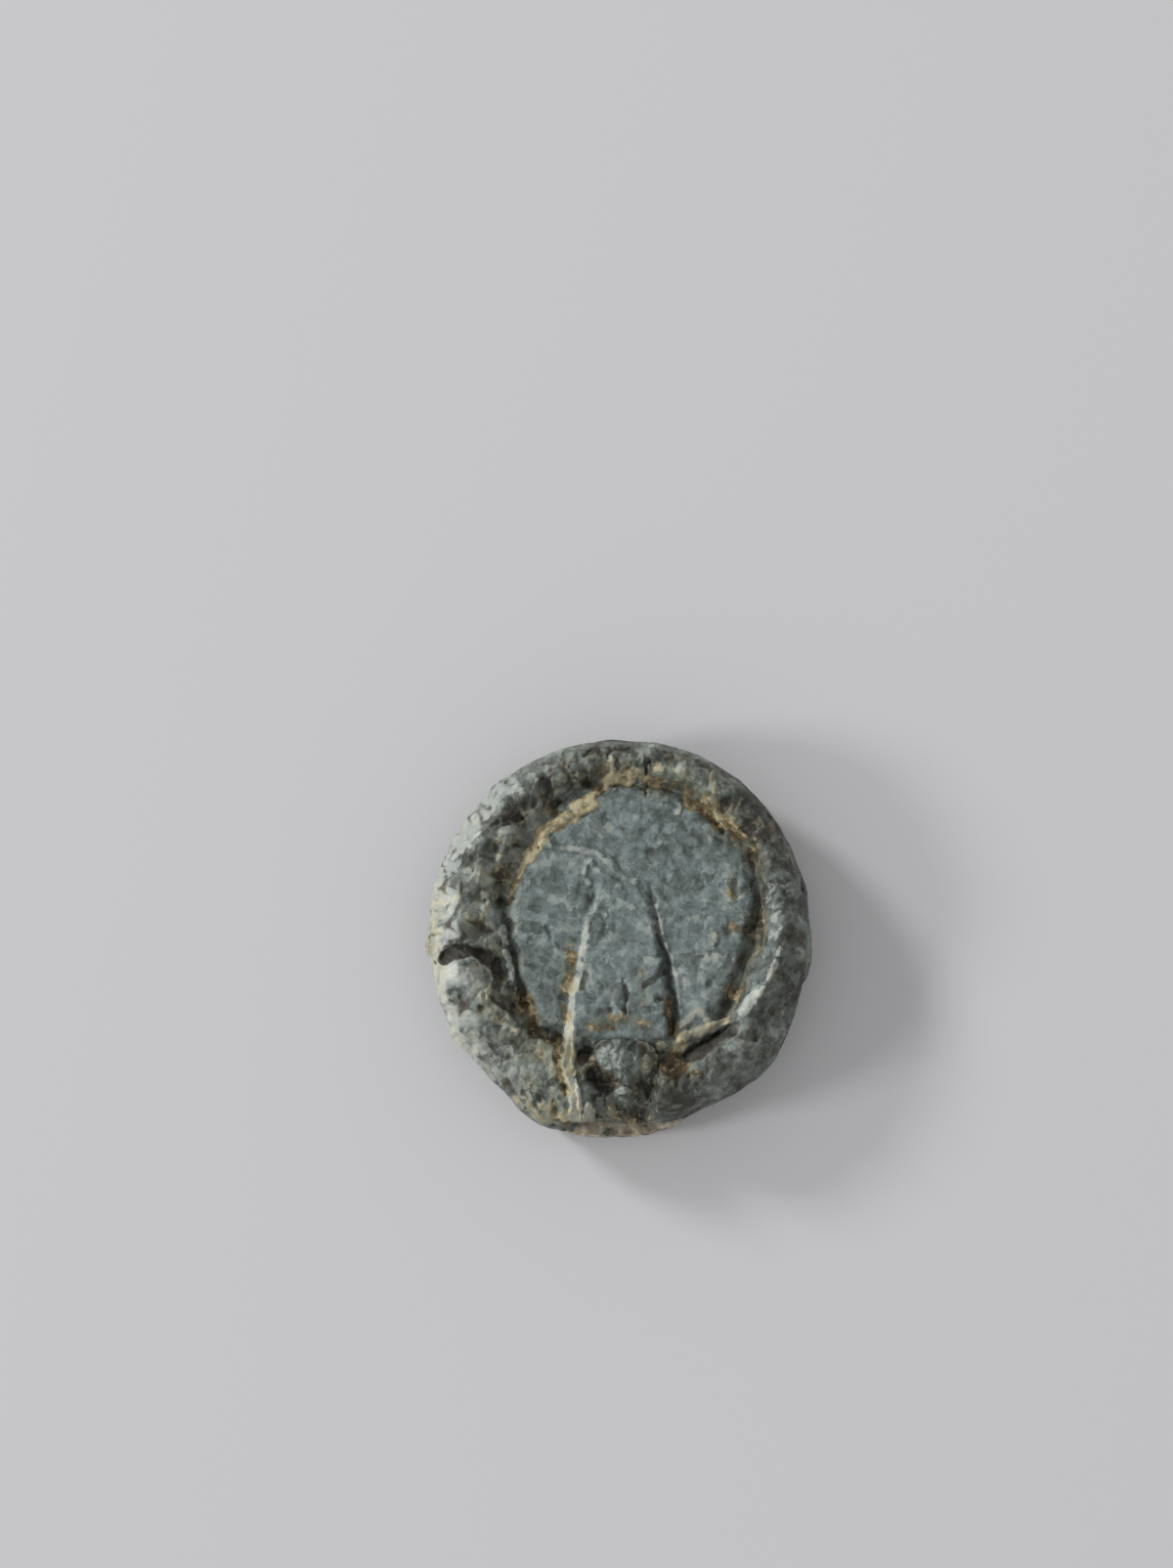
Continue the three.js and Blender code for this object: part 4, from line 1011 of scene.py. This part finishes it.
def closingRivet():
    s = rivetSettings
    rows = [(1, 0)] + s["headRows"] + s["shankRows"] + s["tailRows"]
    piece, share, row, clock, dx, dy = shellPiece("struck_rivet", s["gridSteps"], len(rows) - 1)
    size, level = np.array(rows)[np.rint(row).astype(int)].T
    onTop, onHead = row == 0, row <= len(s["headRows"])
    ragged = s["edgeRagged"] * grain(flat(dx * s["meanReach"], dy * s["meanReach"]), 0.45, 73, 2)
    spread = onClock(s["outline"], clock) + ragged
    reach = size * np.where(onHead, spread * np.where(onTop, share, 1), 1)
    x, y = dx * reach, dy * reach
    topX, topY = s["topPlace"]
    off = np.clip(np.hypot(x - topX * (1 - share), y - topY * (1 - share)) / spread, 0, 1)
    edge = downward(faceSettings["shelfLevel"], y + rivetY) + s["edgeLift"]
    edge -= s["edgeSink"] * sector(clock, *s["sunkEdge"])
    dome = edge + (s["topLevel"] - edge) * (1 - off ** 3)
    dent = sum(rise * smooth(1.5, 0.3, ovalDistance(x, y, place)) for place, rise in s["dents"])
    skin = corrosion(x + rivetX, y + rivetY)
    parts = zip(s["lifts"], (skin.lumps, skin.grains, skin.bulge))
    lift = sum(amount * part for amount, part in parts) * (1 - 0.6 * smooth(0.75, 1, off))
    z = np.where(onTop, dome + dent + lift, level)
    move(piece.data, toFrame(x + rivetX, y + rivetY, z))
    # Painted light on the head: the highlight patch is painted paler, the rest of the head keeps the darker
    # hollow colour as painted shade, and dents are painted darker and bumps paler; its sides below the top
    # carry more hollow.
    paintedHighlight = ovalDistance(x, y, s["paintedHighlight"]) + 0.5 * skin.small + 0.3 * skin.broad
    light = smooth(1.25, 0.8, paintedHighlight)
    masks = faceRelief(x + rivetX, y + rivetY)[1]
    masks["crust"] += (0.3 + 0.5 * skin.small) * light
    masks["earth"] -= 0.25 * light
    masks["hollow"] = masks["hollow"] * (1 - 0.9 * light) + 0.3 * (row > 0) - dent
    masks["tone"] += 0.05 * light
    masks["field"] = 0.3 * light
    paint(piece.data, masks)
    dress(piece, leadMaterial("hammeredLead", leadColours), "closing_rivet")


frontLeaf()
print("front leaf made")
backLeaf()
print("back leaf made")
closingRivet()
print("rivet made")


# Floor, light and camera

studioSettings = {
    "floorColour": (0.548, 0.548, 0.563),
    "floorRadius": 3.0,
    "floorSides": 96,
    "floorDrop": 0.02 * mm,
    "floorRoughness": 0.95,
    "floorSpecular": 0.1,
    # what lights the scene from all round, and what the camera sees past the floor
    "fill": (0.58, 0.58, 0.58),
    "backdrop": (0.54, 0.54, 0.555),
    "lightDistance": 1.0,
    # clock angle, elevation, size and share of the floor's light
    "lights": [(305, 25, 0.20, 0.24), (262, 25, 0.22, 0.19)],
    "targetLevel": 3.9 * mm,
    "lens": 58.4,
    "distance": 0.111,
    "nearest": 0.005,
    "elevation": 86.0,
    # how far the camera looks up and to the left of the disc's centre, in degrees
    "lookUp": 3.41,
    "lookLeft": 0.73,
}


def paperFloor():
    s = studioSettings
    shell = bmesh.new()
    bmesh.ops.create_circle(shell, segments=s["floorSides"], radius=s["floorRadius"], cap_ends=True)
    floor = newPiece("floor", shell)
    if floor.data.polygons[0].normal.z < 0:
        floor.data.flip_normals()
    move(floor.data, coordinates(floor.data) - np.array([0, 0, s["floorDrop"]]))
    material, place = newMaterial("floor")
    finishMaterial({"Base Color": (*s["floorColour"], 1), "Roughness": s["floorRoughness"],
                    "Specular IOR Level": s["floorSpecular"]}, place)
    floor.data.materials.append(material)


def studio():
    s = studioSettings
    scene = bpy.context.scene
    world = bpy.data.worlds.new("world")
    scene.world = world
    world.use_nodes = True
    tree = world.node_tree
    tree.nodes.clear()
    start = Wire(tree, None)
    seen = start.node("ShaderNodeLightPath", output="Is Camera Ray")
    colour = seen.mix(s["fill"], s["backdrop"])
    background = start.node("ShaderNodeBackground", None, {"Color": colour})
    start.node("ShaderNodeOutputWorld", None, {"Surface": background})

    target = Vector((discCentre.x, discCentre.y, s["targetLevel"]))
    for clock, elevation, size, share in s["lights"]:
        turn, climb = math.radians(clock), math.radians(elevation)
        level = math.cos(climb)
        towards = Vector((math.sin(turn) * level, math.cos(turn) * level, math.sin(climb)))
        light = bpy.data.lights.new("window", "AREA")
        light.shape = "DISK"
        light.size = size
        light.energy = share * math.pi ** 2 * s["lightDistance"] ** 2 / math.sin(climb)
        lamp = bpy.data.objects.new("window", light)
        lamp.location = target + towards * s["lightDistance"]
        lamp.rotation_euler = towards.to_track_quat("Z", "Y").to_euler()
        scene.collection.objects.link(lamp)

    camera = bpy.data.objects.new("camera", bpy.data.cameras.new("camera"))
    scene.collection.objects.link(camera)
    climb = math.radians(s["elevation"])
    away = Vector((0, -math.cos(climb), math.sin(climb)))
    camera.location = target + away * s["distance"]
    facing = away.to_track_quat("Z", "Y").to_matrix()
    aside = Euler((math.radians(s["lookUp"]), math.radians(s["lookLeft"]), 0)).to_matrix()
    camera.rotation_euler = (facing @ aside).to_euler()
    camera.data.lens = s["lens"]
    camera.data.clip_start = s["nearest"]
    scene.camera = camera
    scene.view_settings.view_transform = "Standard"


paperFloor()
studio()
print("studio set")
